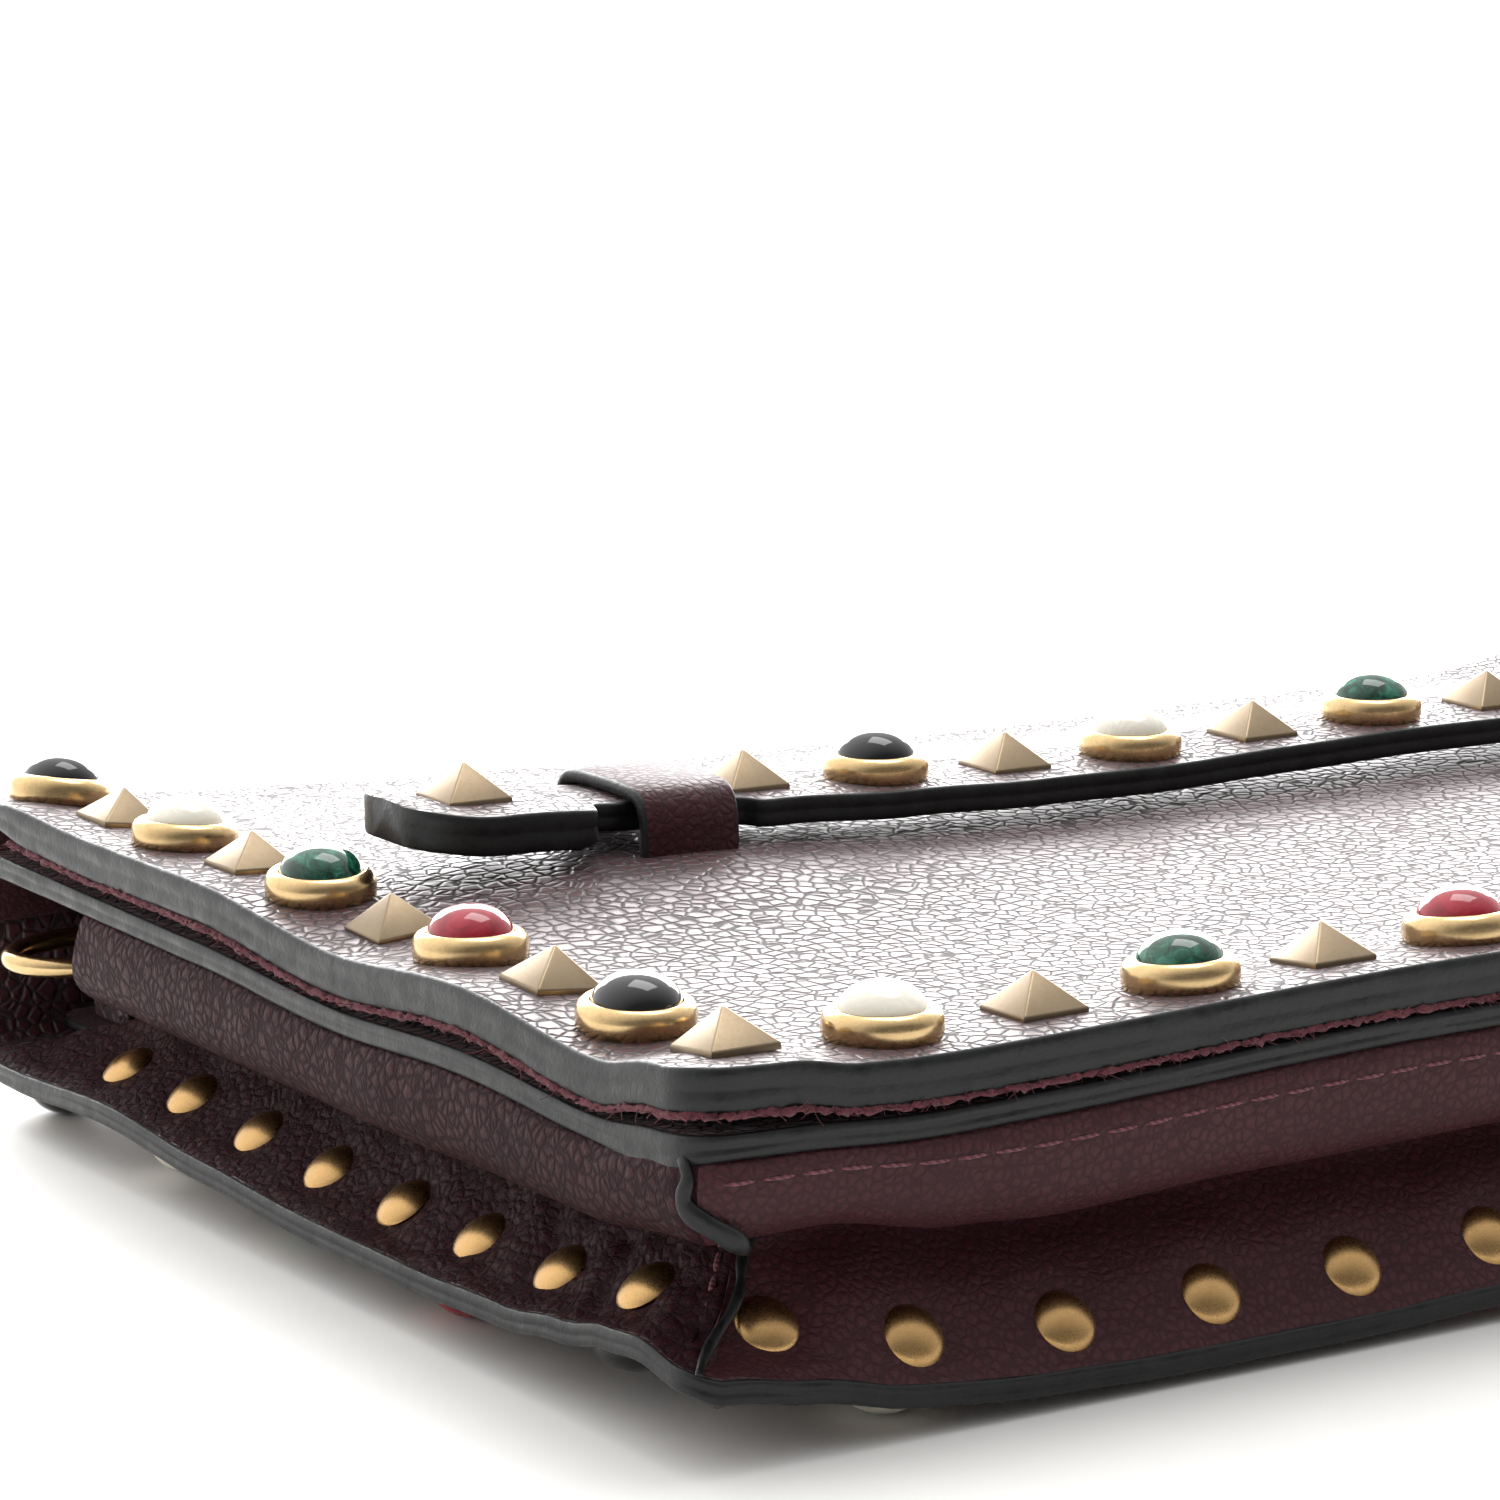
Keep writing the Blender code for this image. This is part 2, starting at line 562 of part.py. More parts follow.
def build_strap():
    outline = strap_outline()
    top = add_piece("strap_top", prism_mesh("strap_top", outline, *STRAP_TOP_Z), "burgundy")
    add_piece("strap_lining", prism_mesh("strap_lining", outline, *STRAP_LINING_Z), "burgundy")
    surface = STRAP_TOP_Z[1]
    depth = surface - sum(STRAP_TAPE_Z) / 2
    pyramid, bezel, stone = pyramid_mesh(), bezel_mesh(), stone_mesh()
    first = -(STRAP_STUDS - 1) / 2 * PITCH_X
    spots = [(-TAB_STUD_X, None)]
    stones = ["black", "white", "green", "ruby"]
    for k in range(STRAP_STUDS):
        spots.append((first + k * PITCH_X, stones[k // 2] if k % 2 else None))
    spots.append((TAB_STUD_X, None))
    heads = []
    for x, colour in spots:
        place = Matrix.Translation((x, STRAP_Y, surface))
        heads.append((bezel if colour else pyramid, place))
        if colour:
            piece = add_piece(f"strap_stone_{colour}", stone.copy(), colour)
            piece.matrix_world = place @ Matrix.Translation((0, 0, LIFT))
    stud_row("strap_studs", heads, depth, leather=[top])


def build_rings():
    """A leather loop and a D-shaped ring at the top of each side."""
    points = [Vector((RING_BAR_X, -RING_HALF)), Vector((RING_BAR_X, RING_HALF))]
    for i in range(1, 9):
        angle = math.pi * i / 9
        points.append(Vector((RING_BAR_X + RING_REACH * math.sin(angle), RING_HALF * math.cos(angle))))
    for side, sign in (("left", -1), ("right", 1)):
        name = "ring_" + side
        curve = bpy.data.curves.new(name, "CURVE")
        curve.dimensions = "3D"
        curve.bevel_depth = RING_WIRE
        curve.bevel_resolution = 1
        spline = curve.splines.new("POLY")
        spline.points.add(len(points) - 1)
        for point, spot in zip(spline.points, points):
            point.co = (sign * spot.x, RING_Y + spot.y, RING_Z, 1)
        spline.use_cyclic_u = True
        temporary = bpy.data.objects.new(name, curve)
        bpy.context.scene.collection.objects.link(temporary)
        add_piece(name, evaluated_mesh(temporary), "brass")
        build_ring_loop(side, sign)


def build_ring_loop(side, sign):
    half = (LOOP_OUTER - LOOP_INNER) / 2
    foot = BACK_LINING_Z[1] + 0.4 * MM - RING_Z

    def arc(radius, start, end, steps=10):
        spots = []
        for i in range(steps + 1):
            angle = math.radians(start + (end - start) * i / steps)
            spots.append((radius * math.cos(angle), radius * math.sin(angle)))
        return spots

    section = [(-half, foot)] + arc(LOOP_OUTER, 258, -30) + arc(LOOP_INNER, -30, 290) + [(half, foot)]
    # the section lies in X and Z, and is extruded along Y
    turn = Matrix(((sign, 0, 0), (0, 0, -sign), (0, 1, 0))).to_4x4()
    stand = Matrix.Translation((sign * RING_BAR_X, RING_Y, RING_Z)) @ turn
    name = "ring_loop_" + side
    add_piece(name, prism_mesh(name, section, -LOOP_HALF, LOOP_HALF, stand), "burgundy")


def main():
    global model, helpers
    clear_scene()
    model = new_collection("wallet")
    helpers = new_collection("cutters")
    build_back()
    build_gusset()
    build_front()
    build_inside()
    build_spine()
    build_flap()
    build_strap()
    build_rings()


main()
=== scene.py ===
"""Looks of a studded flap wallet that lies on its back: pebbled leather with painted edges, metal studs and stones.

Shapes are worked out in millimetres in the frame of the CAD model, and turned into metres by make().
"""

import math

import bmesh
import bpy
import numpy as np
from mathutils import Matrix, Vector, noise


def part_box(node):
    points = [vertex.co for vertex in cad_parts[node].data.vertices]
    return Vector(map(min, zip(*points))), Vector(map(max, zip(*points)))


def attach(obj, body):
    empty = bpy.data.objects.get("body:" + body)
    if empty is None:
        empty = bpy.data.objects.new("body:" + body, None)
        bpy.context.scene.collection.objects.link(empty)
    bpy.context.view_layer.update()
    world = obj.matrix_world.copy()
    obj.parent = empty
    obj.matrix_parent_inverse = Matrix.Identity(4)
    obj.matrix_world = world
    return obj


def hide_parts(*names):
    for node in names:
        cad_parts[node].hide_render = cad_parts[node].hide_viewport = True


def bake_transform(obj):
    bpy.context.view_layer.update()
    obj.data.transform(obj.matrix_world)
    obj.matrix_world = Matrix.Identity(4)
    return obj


MM = 0.001
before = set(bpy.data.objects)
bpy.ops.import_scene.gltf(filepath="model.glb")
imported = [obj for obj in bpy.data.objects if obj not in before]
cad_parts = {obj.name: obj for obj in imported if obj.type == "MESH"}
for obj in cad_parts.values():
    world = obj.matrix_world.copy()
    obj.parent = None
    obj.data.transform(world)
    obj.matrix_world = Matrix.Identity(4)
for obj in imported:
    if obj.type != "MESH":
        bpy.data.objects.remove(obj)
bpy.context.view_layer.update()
scatter = np.random.default_rng(7)

# Outline of the leather and spacing of the studs, as in the CAD model
LEFT, RIGHT, BOTTOM, FRONT_TOP = -98.0, 98.0, -62.0, 55.0
STUD_X0, STUD_Y0, PITCH_X, PITCH_Y = -91.0, -55.0, 13.0, 12.1
LAST_ALONG, LAST_UP = 14, 9
STRAP_Y = 5.7

# Heights of the leather faces
FLAP_TOP, FLAP_THICK, FOLD_THICK = 27.5, 3.3, 1.6
FRONT_Z, FRONT_THICK = 23.8, 1.9
CORNER_R, BACK_CORNER_R = 3.6, 3.0
BACK_LOW, BACK_THICK = 3.9, 1.8
BEND_Y, BEND_R = 58.0, 4.0
SPINE_MIDDLE = 16.1


# ---------------------------------------------------------------- shape helpers


def level(*knots):
    """A function through (position, value) knots that is level at each knot."""
    xs, vs = np.array([k[0] for k in knots], float), np.array([k[1] for k in knots], float)

    def value(x):
        x = np.clip(x, xs[0], xs[-1])
        i = np.clip(np.searchsorted(xs, x, side="right") - 1, 0, len(xs) - 2)
        t = (x - xs[i]) / (xs[i + 1] - xs[i])
        t = t * t * (3 - 2 * t)
        return vs[i] * (1 - t) + vs[i + 1] * t

    return value


def flowing(points, steps):
    """A smooth open curve through points, with steps pieces between each two."""
    p = np.array(points, float)
    p = np.vstack([2 * p[0] - p[1], p, 2 * p[-1] - p[-2]])
    t = np.linspace(0, 1, steps, endpoint=False)[:, None]
    spans = []
    for a, b, c, d in zip(p, p[1:], p[2:], p[3:]):
        spans.append(0.5 * (2 * b + (c - a) * t + (2 * a - 5 * b + 4 * c - d) * t**2 + (3 * b - a - 3 * c + d) * t**3))
    return np.vstack([*spans, p[-2][None]])


def smooth_step(low, high, x):
    t = np.clip((x - low) / (high - low), 0, 1)
    return t * t * (3 - 2 * t)


def ripple(points, scale, seed=0.0, octaves=3):
    """Smooth noise from about -1 to 1 at each point."""
    flat = np.asarray(points, float).reshape(-1, 3) / scale + seed
    values = [noise.fractal(Vector(p), 1.0, 2.0, octaves) for p in flat]
    return np.array(values).reshape(np.asarray(points).shape[:-1])


def creases(points, scale, seed=0.0):
    """Noise from 0 to 1 with narrow ridges where the leather is creased."""
    flat = np.asarray(points, float).reshape(-1, 3) / scale + seed
    values = [1 - abs(noise.noise(Vector(p))) * 2 for p in flat]
    return np.clip(np.array(values).reshape(np.asarray(points).shape[:-1]), 0, 1) ** 3


def rim(left, bottom, right):
    """A value that follows each side of the outline and dies away inwards over reach."""

    def value(x, y, reach=9.0):
        near = [np.exp(-((np.maximum(d, 0) / reach) ** 2)) for d in (x - LEFT, y - BOTTOM, RIGHT - x)]
        total = near[0] * left(y) + near[1] * bottom(x) + near[2] * right(y)
        return total / np.maximum(sum(near), 1)

    return value


# How far the free edges of the leather wave up or down
flap_lift = rim(
    level((-62, 1.6), (-56.5, 0.8), (-49.5, -0.4), (-29, 1.08), (-8, -0.5), (15, 0.85), (35, 0.75), (50, 1.1), (60, 0)),
    level((-98, 1.7), (-90, 1.2), (-84, 0.3), (-79, 0.17), (-31, 1.25), (0, 1.2), (30, 0.3), (60, 1.0), (84, 0.1),
          (98, 1.0)),
    level((-62, 1.0), (-45, -0.3), (-20, 0.7), (5, -0.2), (30, 0.6), (60, 0)),
)
front_lift = rim(
    level((-62, 0.4), (-56, -0.3), (-49.5, -0.9), (-29, -0.2), (-8, -1.1), (15, -0.4), (50, -0.2)),
    level((-98, 0.6), (-90, 0.2), (-79, -0.3), (-31, 1.0), (0, 1.0), (30, 0.1), (60, 0.8), (82, -0.1), (98, 0.3)),
    level((-62, 0.3), (-45, -0.6), (-20, 0.2), (5, -0.6), (30, 0.1), (50, 0)),
)
back_rim = rim(
    level((-62, 2.0), (-60, 2.5), (-55, 3.1), (-49.5, 2.5), (-43.5, 1.4), (-35, 0.3), (-20, -0.3), (-3, -0.5),
          (14, -0.1), (32, 0.7), (50, -0.2), (60, -0.5)),
    level((-98, 1.5), (-95, 0.4), (-88.5, -0.9), (-80, -2.1), (-67, -2.7), (-58, -3.0), (-39, -3.0), (-27, -2.6),
          (40, -2.5), (80, -2.0), (90, -1.0), (98, 0.5)),
    level((-62, 1.2), (-50, 1.4), (-40, 0.2), (0, -0.5), (40, 0.5), (60, -0.5)),
)
fold_height = rim(
    level((-62, 15.4), (-40, 13.8), (0, 13.2), (50, 13.0)),
    level((-98, 15.4), (-87, 15.6), (-75, 13.7), (-67, 13.2), (-49, 13.9), (-20, 14.3), (40, 13.6), (98, 14.6)),
    level((-62, 14.6), (-30, 13.4), (50, 13.0)),
)
sag_depth = level((-98, 0), (-84, 1.0), (-70, 1.8), (-56, 2.6), (-20, 4.0), (10, 4.6), (60, 4.6), (84, 2.0), (98, 0))


def sag(x, y):
    """How far the front and the flap sink towards the fold, most in the middle."""
    return sag_depth(x) * smooth_step(20, 58, y)


def back_lift(x, y):
    """A raised edge takes the studs up with it, and a drooping one is only a narrow lip."""
    return np.maximum(back_rim(x, y, 5.5), back_rim(x, y, 13.0)) * (1 - smooth_step(48, 59, y))


def make(name, points, faces, materials, indices=None, crisp=None):
    """A mesh object from points in millimetres. Edges sharper than crisp degrees stay sharp."""
    mesh = bpy.data.meshes.new(name)
    mesh.from_pydata((np.asarray(points, float).reshape(-1, 3) * MM).tolist(), [], [list(f) for f in faces])
    obj = bpy.data.objects.new(name, mesh)
    bpy.context.scene.collection.objects.link(obj)
    for look in materials:
        mesh.materials.append(look)
    if indices is not None:
        mesh.polygons.foreach_set("material_index", np.asarray(indices, np.int32))
    mesh.polygons.foreach_set("use_smooth", [True] * len(mesh.polygons))
    if crisp:
        mesh.set_sharp_from_angle(angle=math.radians(crisp))
    mesh.update()
    return obj


def outward(obj):
    """Turns every face of a closed solid outwards."""
    edit = bmesh.new()
    edit.from_mesh(obj.data)
    bmesh.ops.recalc_face_normals(edit, faces=edit.faces)
    edit.to_mesh(obj.data)
    edit.free()
    return obj


def dress(obj, body, slot, *nodes):
    """The piece rides on the body and stands for the nodes. The slot is not used."""
    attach(obj, body)
    if nodes:
        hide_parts(*nodes)
    return obj


def quads(rows, columns, start=0, wrap=False):
    """Faces over a grid of points numbered row by row from start."""
    last = columns if wrap else columns - 1
    return [
        (
            start + i * columns + j,
            start + (i + 1) * columns + j,
            start + (i + 1) * columns + (j + 1) % columns,
            start + i * columns + (j + 1) % columns,
        )
        for i in range(rows - 1)
        for j in range(last)
    ]


def stations(low, high, fine, coarse, border):
    """Positions from low to high, fine apart within border of each end and coarse apart between."""
    ends = np.arange(0, border, fine)
    middle = np.linspace(low + border, high - border, max(2, int((high - low - 2 * border) / coarse) + 1))
    return np.concatenate([low + ends, middle, (high - ends)[::-1]])


def rounded_grid(x0, x1, y0, y1, radius, top_radius=0.0, fine=1.0, coarse=2.0, border=12.0):
    """A grid of points that fills a rectangle with rounded corners."""
    x, y = np.meshgrid(stations(x0, x1, fine, coarse, border), stations(y0, y1, fine, coarse, border), indexing="ij")
    for sign_x, sign_y, r in ((-1, -1, radius), (1, -1, radius), (-1, 1, top_radius), (1, 1, top_radius)):
        if r <= 0:
            continue
        centre_x = x0 + r if sign_x < 0 else x1 - r
        centre_y = y0 + r if sign_y < 0 else y1 - r
        a, b = sign_x * (x - centre_x), sign_y * (y - centre_y)
        inside = (a > 0) & (b > 0)
        reach, low = np.maximum(a, b), np.minimum(a, b)
        angle = math.pi / 4 * low / np.maximum(reach, 1e-9)
        near, far = reach * np.sin(angle), reach * np.cos(angle)
        x = np.where(inside, centre_x + sign_x * np.where(a >= b, far, near), x)
        y = np.where(inside, centre_y + sign_y * np.where(a >= b, near, far), y)
    return x, y


# Edge of a sheet of leather, as (how far out from the border of its face, share of its thickness)
PAINTED_EDGE = (
    (0.13, 0.01), (0.27, 0.06), (0.36, 0.16), (0.40, 0.30), (0.35, 0.42), (0.31, 0.48), (0.32, 0.54),
    (0.38, 0.64), (0.40, 0.78), (0.33, 0.90), (0.18, 0.98),
)
THIN_EDGE = ((0.12, 0.04), (0.2, 0.25), (0.22, 0.5), (0.2, 0.75), (0.12, 0.96))
EDGE_INSET = 0.4


def slab(name, grid, place, thick, materials, edge=PAINTED_EDGE, far_cut=False):
    """A closed sheet of leather: its upper face, a rounded painted edge, and its lower face.

    place(x, y, depth) gives the points at a depth below the upper face, and thick(x, y) the thickness. A far cut
    leaves the edge at the highest y square, where another sheet goes on.
    """
    x, y = grid
    rows, columns = x.shape
    number = np.arange(rows * columns).reshape(rows, columns)
    loop = np.concatenate([number[:, 0], number[-1, 1:], number[-2::-1, -1], number[0, -2:0:-1]])
    lx, ly = x.reshape(-1)[loop], y.reshape(-1)[loop]
    tx, ty = np.roll(lx, -1) - np.roll(lx, 1), np.roll(ly, -1) - np.roll(ly, 1)
    size = np.maximum(np.hypot(tx, ty), 1e-9)
    out_x, out_y = ty / size, -tx / size
    if far_cut:
        far = ly >= y.max() - 1e-6
        out_y[far] = 0
        out_x[far] = np.sign(np.where(np.abs(lx[far]) > np.abs(x).max() - 1e-6, lx[far], 0))
    points = [place(x, y, np.zeros_like(x)).reshape(-1, 3)]
    for out, share in edge:
        sway = 1 + 0.12 * np.sin(lx * 0.41 + ly * 0.63 + share * 9) * np.sin(lx * 0.17 - ly * 0.23)
        ex, ey = lx + out_x * out * sway, ly + out_y * out * sway
        points.append(place(ex, ey, share * thick(ex, ey)))
    points.append(place(x, y, thick(x, y)).reshape(-1, 3))
    ring = len(loop)
    top = quads(rows, columns)
    starts = [rows * columns + k * ring for k in range(len(edge))]
    last = rows * columns + len(edge) * ring
    loops = [loop] + [np.arange(s, s + ring) for s in starts] + [loop + last]
    sides = []
    for a, b in zip(loops, loops[1:]):
        an, bn = np.roll(a, -1), np.roll(b, -1)
        sides += np.stack([a, b, bn, an], axis=1).tolist()
    bottom = [tuple(last + v for v in reversed(face)) for face in top]
    indices = [0] * len(top) + [1] * len(sides) + [2] * len(bottom)
    return make(name, np.vstack(points), top + sides + bottom, materials, indices)


def grid_normals(points):
    along = np.gradient(points, axis=0)
    across = np.gradient(points, axis=1)
    normal = np.cross(along, across)
    return normal / np.maximum(np.linalg.norm(normal, axis=-1, keepdims=True), 1e-9)


def skin(name, points, thickness, materials, flip=False):
    """A closed sheet whose outer face is a grid of points; its rim takes the second material."""
    rows, columns = points.shape[:2]
    normal = grid_normals(points) * (-1 if flip else 1)
    layers = [points.reshape(-1, 3), (points - normal * thickness).reshape(-1, 3)]
    outer = quads(rows, columns)
    inner = [tuple(v + rows * columns for v in reversed(f)) for f in outer]
    number = np.arange(rows * columns).reshape(rows, columns)
    loop = np.concatenate([number[:, 0], number[-1, 1:], number[-2::-1, -1], number[0, -2:0:-1]])
    nxt = np.roll(loop, -1)
    sides = np.stack([loop, loop + rows * columns, nxt + rows * columns, nxt], axis=1).tolist()
    faces = outer + sides + inner
    if flip:
        faces = [tuple(reversed(f)) for f in faces]
    indices = [0] * len(outer) + [1] * len(sides) + [2] * len(inner)
    return make(name, np.vstack(layers), faces, materials, indices, crisp=50)


def tube_data(path, radius, sides=8, flat=1.0, up=None):
    """Points and faces of a tube along a path. radius is a number or one for each point; flat squeezes it along up."""
    path = np.asarray(path, float)
    radius = np.broadcast_to(np.asarray(radius, float), (len(path),))
    tangent = np.gradient(path, axis=0)
    tangent /= np.maximum(np.linalg.norm(tangent, axis=1, keepdims=True), 1e-9)
    guide = np.broadcast_to(np.asarray(up if up is not None else (0.13, 0.21, 1.0), float), path.shape)
    side = np.cross(tangent, guide)
    side /= np.maximum(np.linalg.norm(side, axis=1, keepdims=True), 1e-9)
    rise = np.cross(side, tangent)
    turn = np.arange(sides) * 2 * math.pi / sides
    ring = (
        side[:, None] * np.cos(turn)[None, :, None] + rise[:, None] * np.sin(turn)[None, :, None] * flat
    ) * radius[:, None, None]
    points = (path[:, None] + ring).reshape(-1, 3)
    faces = quads(len(path), sides, wrap=True)
    count = len(path) * sides
    points = np.vstack([points, path[:1], path[-1:]])
    for j in range(sides):
        k = (j + 1) % sides
        faces.append((count, j, k))
        faces.append((count + 1, count - sides + k, count - sides + j))
    return points, [tuple(reversed(f)) for f in faces]


def turned(profile, steps=40):
    """Points and faces of a solid turned about Z. The profile runs from the top centre to the bottom centre."""
    inner = np.array(profile[1:-1], float)
    turn = np.arange(steps) * 2 * math.pi / steps
    ring = np.stack([np.outer(inner[:, 0], np.cos(turn)), np.outer(inner[:, 0], np.sin(turn))], axis=-1)
    heights = np.repeat(inner[:, 1][:, None], steps, axis=1)[..., None]
    points = np.concatenate([ring, heights], axis=-1).reshape(-1, 3)
    count = len(points)
    points = np.vstack([points, [(0, 0, profile[0][1])], [(0, 0, profile[-1][1])]])
    faces = quads(len(inner), steps, wrap=True)
    for j in range(steps):
        k = (j + 1) % steps
        faces.append((count, j, k))
        faces.append((count + 1, count - steps + k, count - steps + j))
    return points, faces


def loft(name, sections, kind, materials, crisp=None):
    """A solid through closed sections. kind(j) is the material of the strip that starts at point j of a section."""
    points = np.array(sections)
    count = points.shape[1]
    last = (len(points) - 1) * count
    faces = quads(len(points), count, wrap=True)
    kinds = [kind(j) for _ in range(len(points) - 1) for j in range(count)]
    faces += [tuple(range(count - 1, -1, -1)), tuple(range(last, last + count))]
    return outward(make(name, points, faces, materials, kinds + [1, 1], crisp))


def bmesh_data(edit):
    """Points and faces of a bmesh, which is then freed."""
    bmesh.ops.recalc_face_normals(edit, faces=edit.faces)
    edit.verts.ensure_lookup_table()
    points = np.array([v.co for v in edit.verts])
    faces = [tuple(v.index for v in f.verts) for f in edit.faces]
    edit.free()
    return points, faces


def gather(name, parts, materials, crisp=None):
    """One object that holds every (points, faces), or every (points, faces, matrix)."""
    points, faces, start = [], [], 0
    for part in parts:
        own = np.asarray(part[0], float)
        if len(part) == 3:
            place = np.array(part[2])
            own = own @ place[:3, :3].T + place[:3, 3]
        points.append(own)
        faces += [tuple(v + start for v in face) for face in part[1]]
        start += len(own)
    return make(name, np.vstack(points), faces, materials, crisp=crisp)


def stand(height, x, y, flip=False):
    """A matrix that stands a stud on a surface of that height function, facing up, or down if flipped."""
    step = 0.5
    z = float(height(x, y))
    slope_x = float(height(x + step, y) - height(x - step, y)) / (2 * step)
    slope_y = float(height(x, y + step) - height(x, y - step)) / (2 * step)
    up = Vector((-slope_x, -slope_y, 1)).normalized() * (-1 if flip else 1)
    along = Vector((1, 0, 0))
    across = up.cross(along).normalized()
    along = across.cross(up)
    turn = Matrix((along, across, up)).transposed().to_4x4()
    return Matrix.Translation((x, y, z)) @ turn


# ---------------------------------------------------------------- materials


class Look:
    """A procedural material. Its nodes work in the object's own coordinates, in metres."""

    def __init__(self, name, colour, roughness, metallic=0.0, **sockets):
        self.material = bpy.data.materials.new(name)
        self.material.use_nodes = True
        self.material.diffuse_color = (*colour, 1)
        self.tree = self.material.node_tree
        self.shader = self.tree.nodes["Principled BSDF"]
        sockets = {"Base Color": (*colour, 1), "Roughness": roughness, "Metallic": metallic, **sockets}
        for name, value in sockets.items():
            self.shader.inputs[name.replace("_", " ")].default_value = value
        self.place = self.node("TexCoord").outputs["Object"]

    def node(self, kind, settings=None, **inputs):
        made = self.tree.nodes.new("ShaderNode" + kind)
        for name, value in (settings or {}).items():
            setattr(made, name, value)
        for name, value in inputs.items():
            self.put(made.inputs[int(name[1:])] if name[0] == "_" else made.inputs[name.replace("_", " ")], value)
        return made

    def put(self, socket, value):
        if isinstance(value, bpy.types.NodeSocket):
            self.tree.links.new(value, socket)
        else:
            socket.default_value = value

    def math(self, operation, a, b):
        return self.node("Math", {"operation": operation}, _0=a, _1=b).outputs[0]

    def noise(self, size, detail=2.0, rough=0.5, place=None, warp=0.0):
        found = self.node(
            "TexNoise", Vector=place or self.place, Scale=1 / (size * MM), Detail=detail, Roughness=rough,
            Distortion=warp,
        )
        return found.outputs["Fac"]

    def ramp(self, value, *stops):
        """A colour for each value; stops are (position, colour)."""
        made = self.node("ValToRGB", Fac=value)
        elements = made.color_ramp.elements
        while len(elements) < len(stops):
            elements.new(0.5)
        for element, (position, colour) in zip(elements, stops):
            element.position = position
            element.color = (*colour, 1)
        return made.outputs["Color"]

    def span(self, value, low, high, to_low=0.0, to_high=1.0):
        made = self.node(
            "MapRange", {"interpolation_type": "SMOOTHSTEP"}, Value=value, From_Min=low, From_Max=high,
            To_Min=to_low, To_Max=to_high,
        )
        return made.outputs[0]

    def mix(self, share, a, b):
        made = self.node("Mix", {"data_type": "RGBA"}, _0=share, _6=a, _7=b)
        return made.outputs[2]

    def bump(self, height, depth):
        made = self.node("Bump", Strength=1.0, Distance=depth * MM, Height=height)
        self.put(self.shader.inputs["Normal"], made.outputs["Normal"])

    def cells(self, size, place):
        """The distance to the nearest border between irregular cells of that size."""
        made = self.node(
            "TexVoronoi", {"feature": "DISTANCE_TO_EDGE"}, Vector=place, Scale=1 / (size * MM), Randomness=0.9,
        )
        return made.outputs["Distance"]

    def warped(self, size, amount):
        """The object's coordinates, pushed about by noise of this size, by this amount in millimetres."""
        wave = self.node("TexNoise", Vector=self.place, Scale=1 / (size * MM), Detail=2.0).outputs["Color"]
        centred = self.node("VectorMath", {"operation": "SUBTRACT"}, _0=wave, _1=(0.5, 0.5, 0.5)).outputs[0]
        pushed = self.node("VectorMath", {"operation": "MULTIPLY"}, _0=centred, _1=[2 * amount * MM] * 3).outputs[0]
        return self.node("VectorMath", {"operation": "ADD"}, _0=self.place, _1=pushed).outputs[0]


def leather(name, cell, depth, dark, light, pale, crease_width=0.16, fine=0.25, roughness=(0.62, 0.40), sheen=0.1,
            gloss=0.5, dome=(0.5, 0.55)):
    """Pebbled leather with cells of that size in millimetres, with painted shade in the creases and smoother on the
    domes.

    A dome rises over dome[0] of a cell from the crease, the more abruptly the lower dome[1] is. roughness is that of
    the creases and of the domes.
    """
    look = Look(name, light, roughness[1], Sheen_Weight=sheen, Sheen_Roughness=0.35,
                Sheen_Tint=(1.0, 0.97, 0.98, 1.0), Specular_IOR_Level=gloss)
    place = look.warped(3.2 * cell, 0.34 * cell)
    edge = look.cells(cell, place)
    domes = look.math("POWER", look.span(edge, 0.0, dome[0]), dome[1])
    creases_in = look.span(edge, 0.0, crease_width)
    small = look.span(look.cells(0.45 * cell, place), 0.0, 0.3)
    grain = look.noise(0.16 * cell, 3.0)
    height = look.math("ADD", domes, look.math("MULTIPLY", small, fine))
    height = look.math("ADD", height, look.math("MULTIPLY", grain, 0.3 * fine))
    cloud = look.span(look.noise(14.0, 4.0, 0.6), 0.3, 0.7)
    body = look.mix(look.math("MULTIPLY", cloud, 0.6), (*light, 1), (*pale, 1))
    # Painted shade: the colour falls to the dark one in the creases between the cells, big and small.
    colour = look.mix(look.math("ADD", look.math("MULTIPLY", creases_in, 0.8), look.math("MULTIPLY", small, 0.2)),
                      (*dark, 1), body)
    look.put(look.shader.inputs["Base Color"], colour)
    look.put(look.shader.inputs["Roughness"], look.span(creases_in, 0.0, 1.0, *roughness))
    look.bump(height, depth)
    return look.material


def edge_paint():
    look = Look("edge_paint", (0.008, 0.0085, 0.009), 0.40, Specular_IOR_Level=0.3)
    streak = look.noise(2.2, 4.0, 0.6, place=look.warped(6.0, 0.8))
    fleck = look.noise(0.35, 2.0)
    look.put(look.shader.inputs["Base Color"],
             look.ramp(streak, (0.3, (0.004, 0.0045, 0.005)), (0.7, (0.013, 0.014, 0.0145))))
    look.put(look.shader.inputs["Roughness"], look.span(streak, 0.25, 0.75, 0.32, 0.52))
    look.bump(look.math("ADD", streak, look.math("MULTIPLY", fleck, 0.25)), 0.10)
    return look.material


def fibre():
    look = Look("raw_fibre", (0.10, 0.014, 0.022), 0.85, Sheen_Weight=0.15, Sheen_Roughness=0.5,
                Sheen_Tint=(1.0, 0.7, 0.75, 1.0))
    tuft = look.noise(0.22, 4.0, 0.7)
    look.put(look.shader.inputs["Base Color"],
             look.ramp(tuft, (0.3, (0.030, 0.004, 0.007)), (0.72, (0.16, 0.022, 0.034))))
    look.bump(tuft, 0.12)
    return look.material


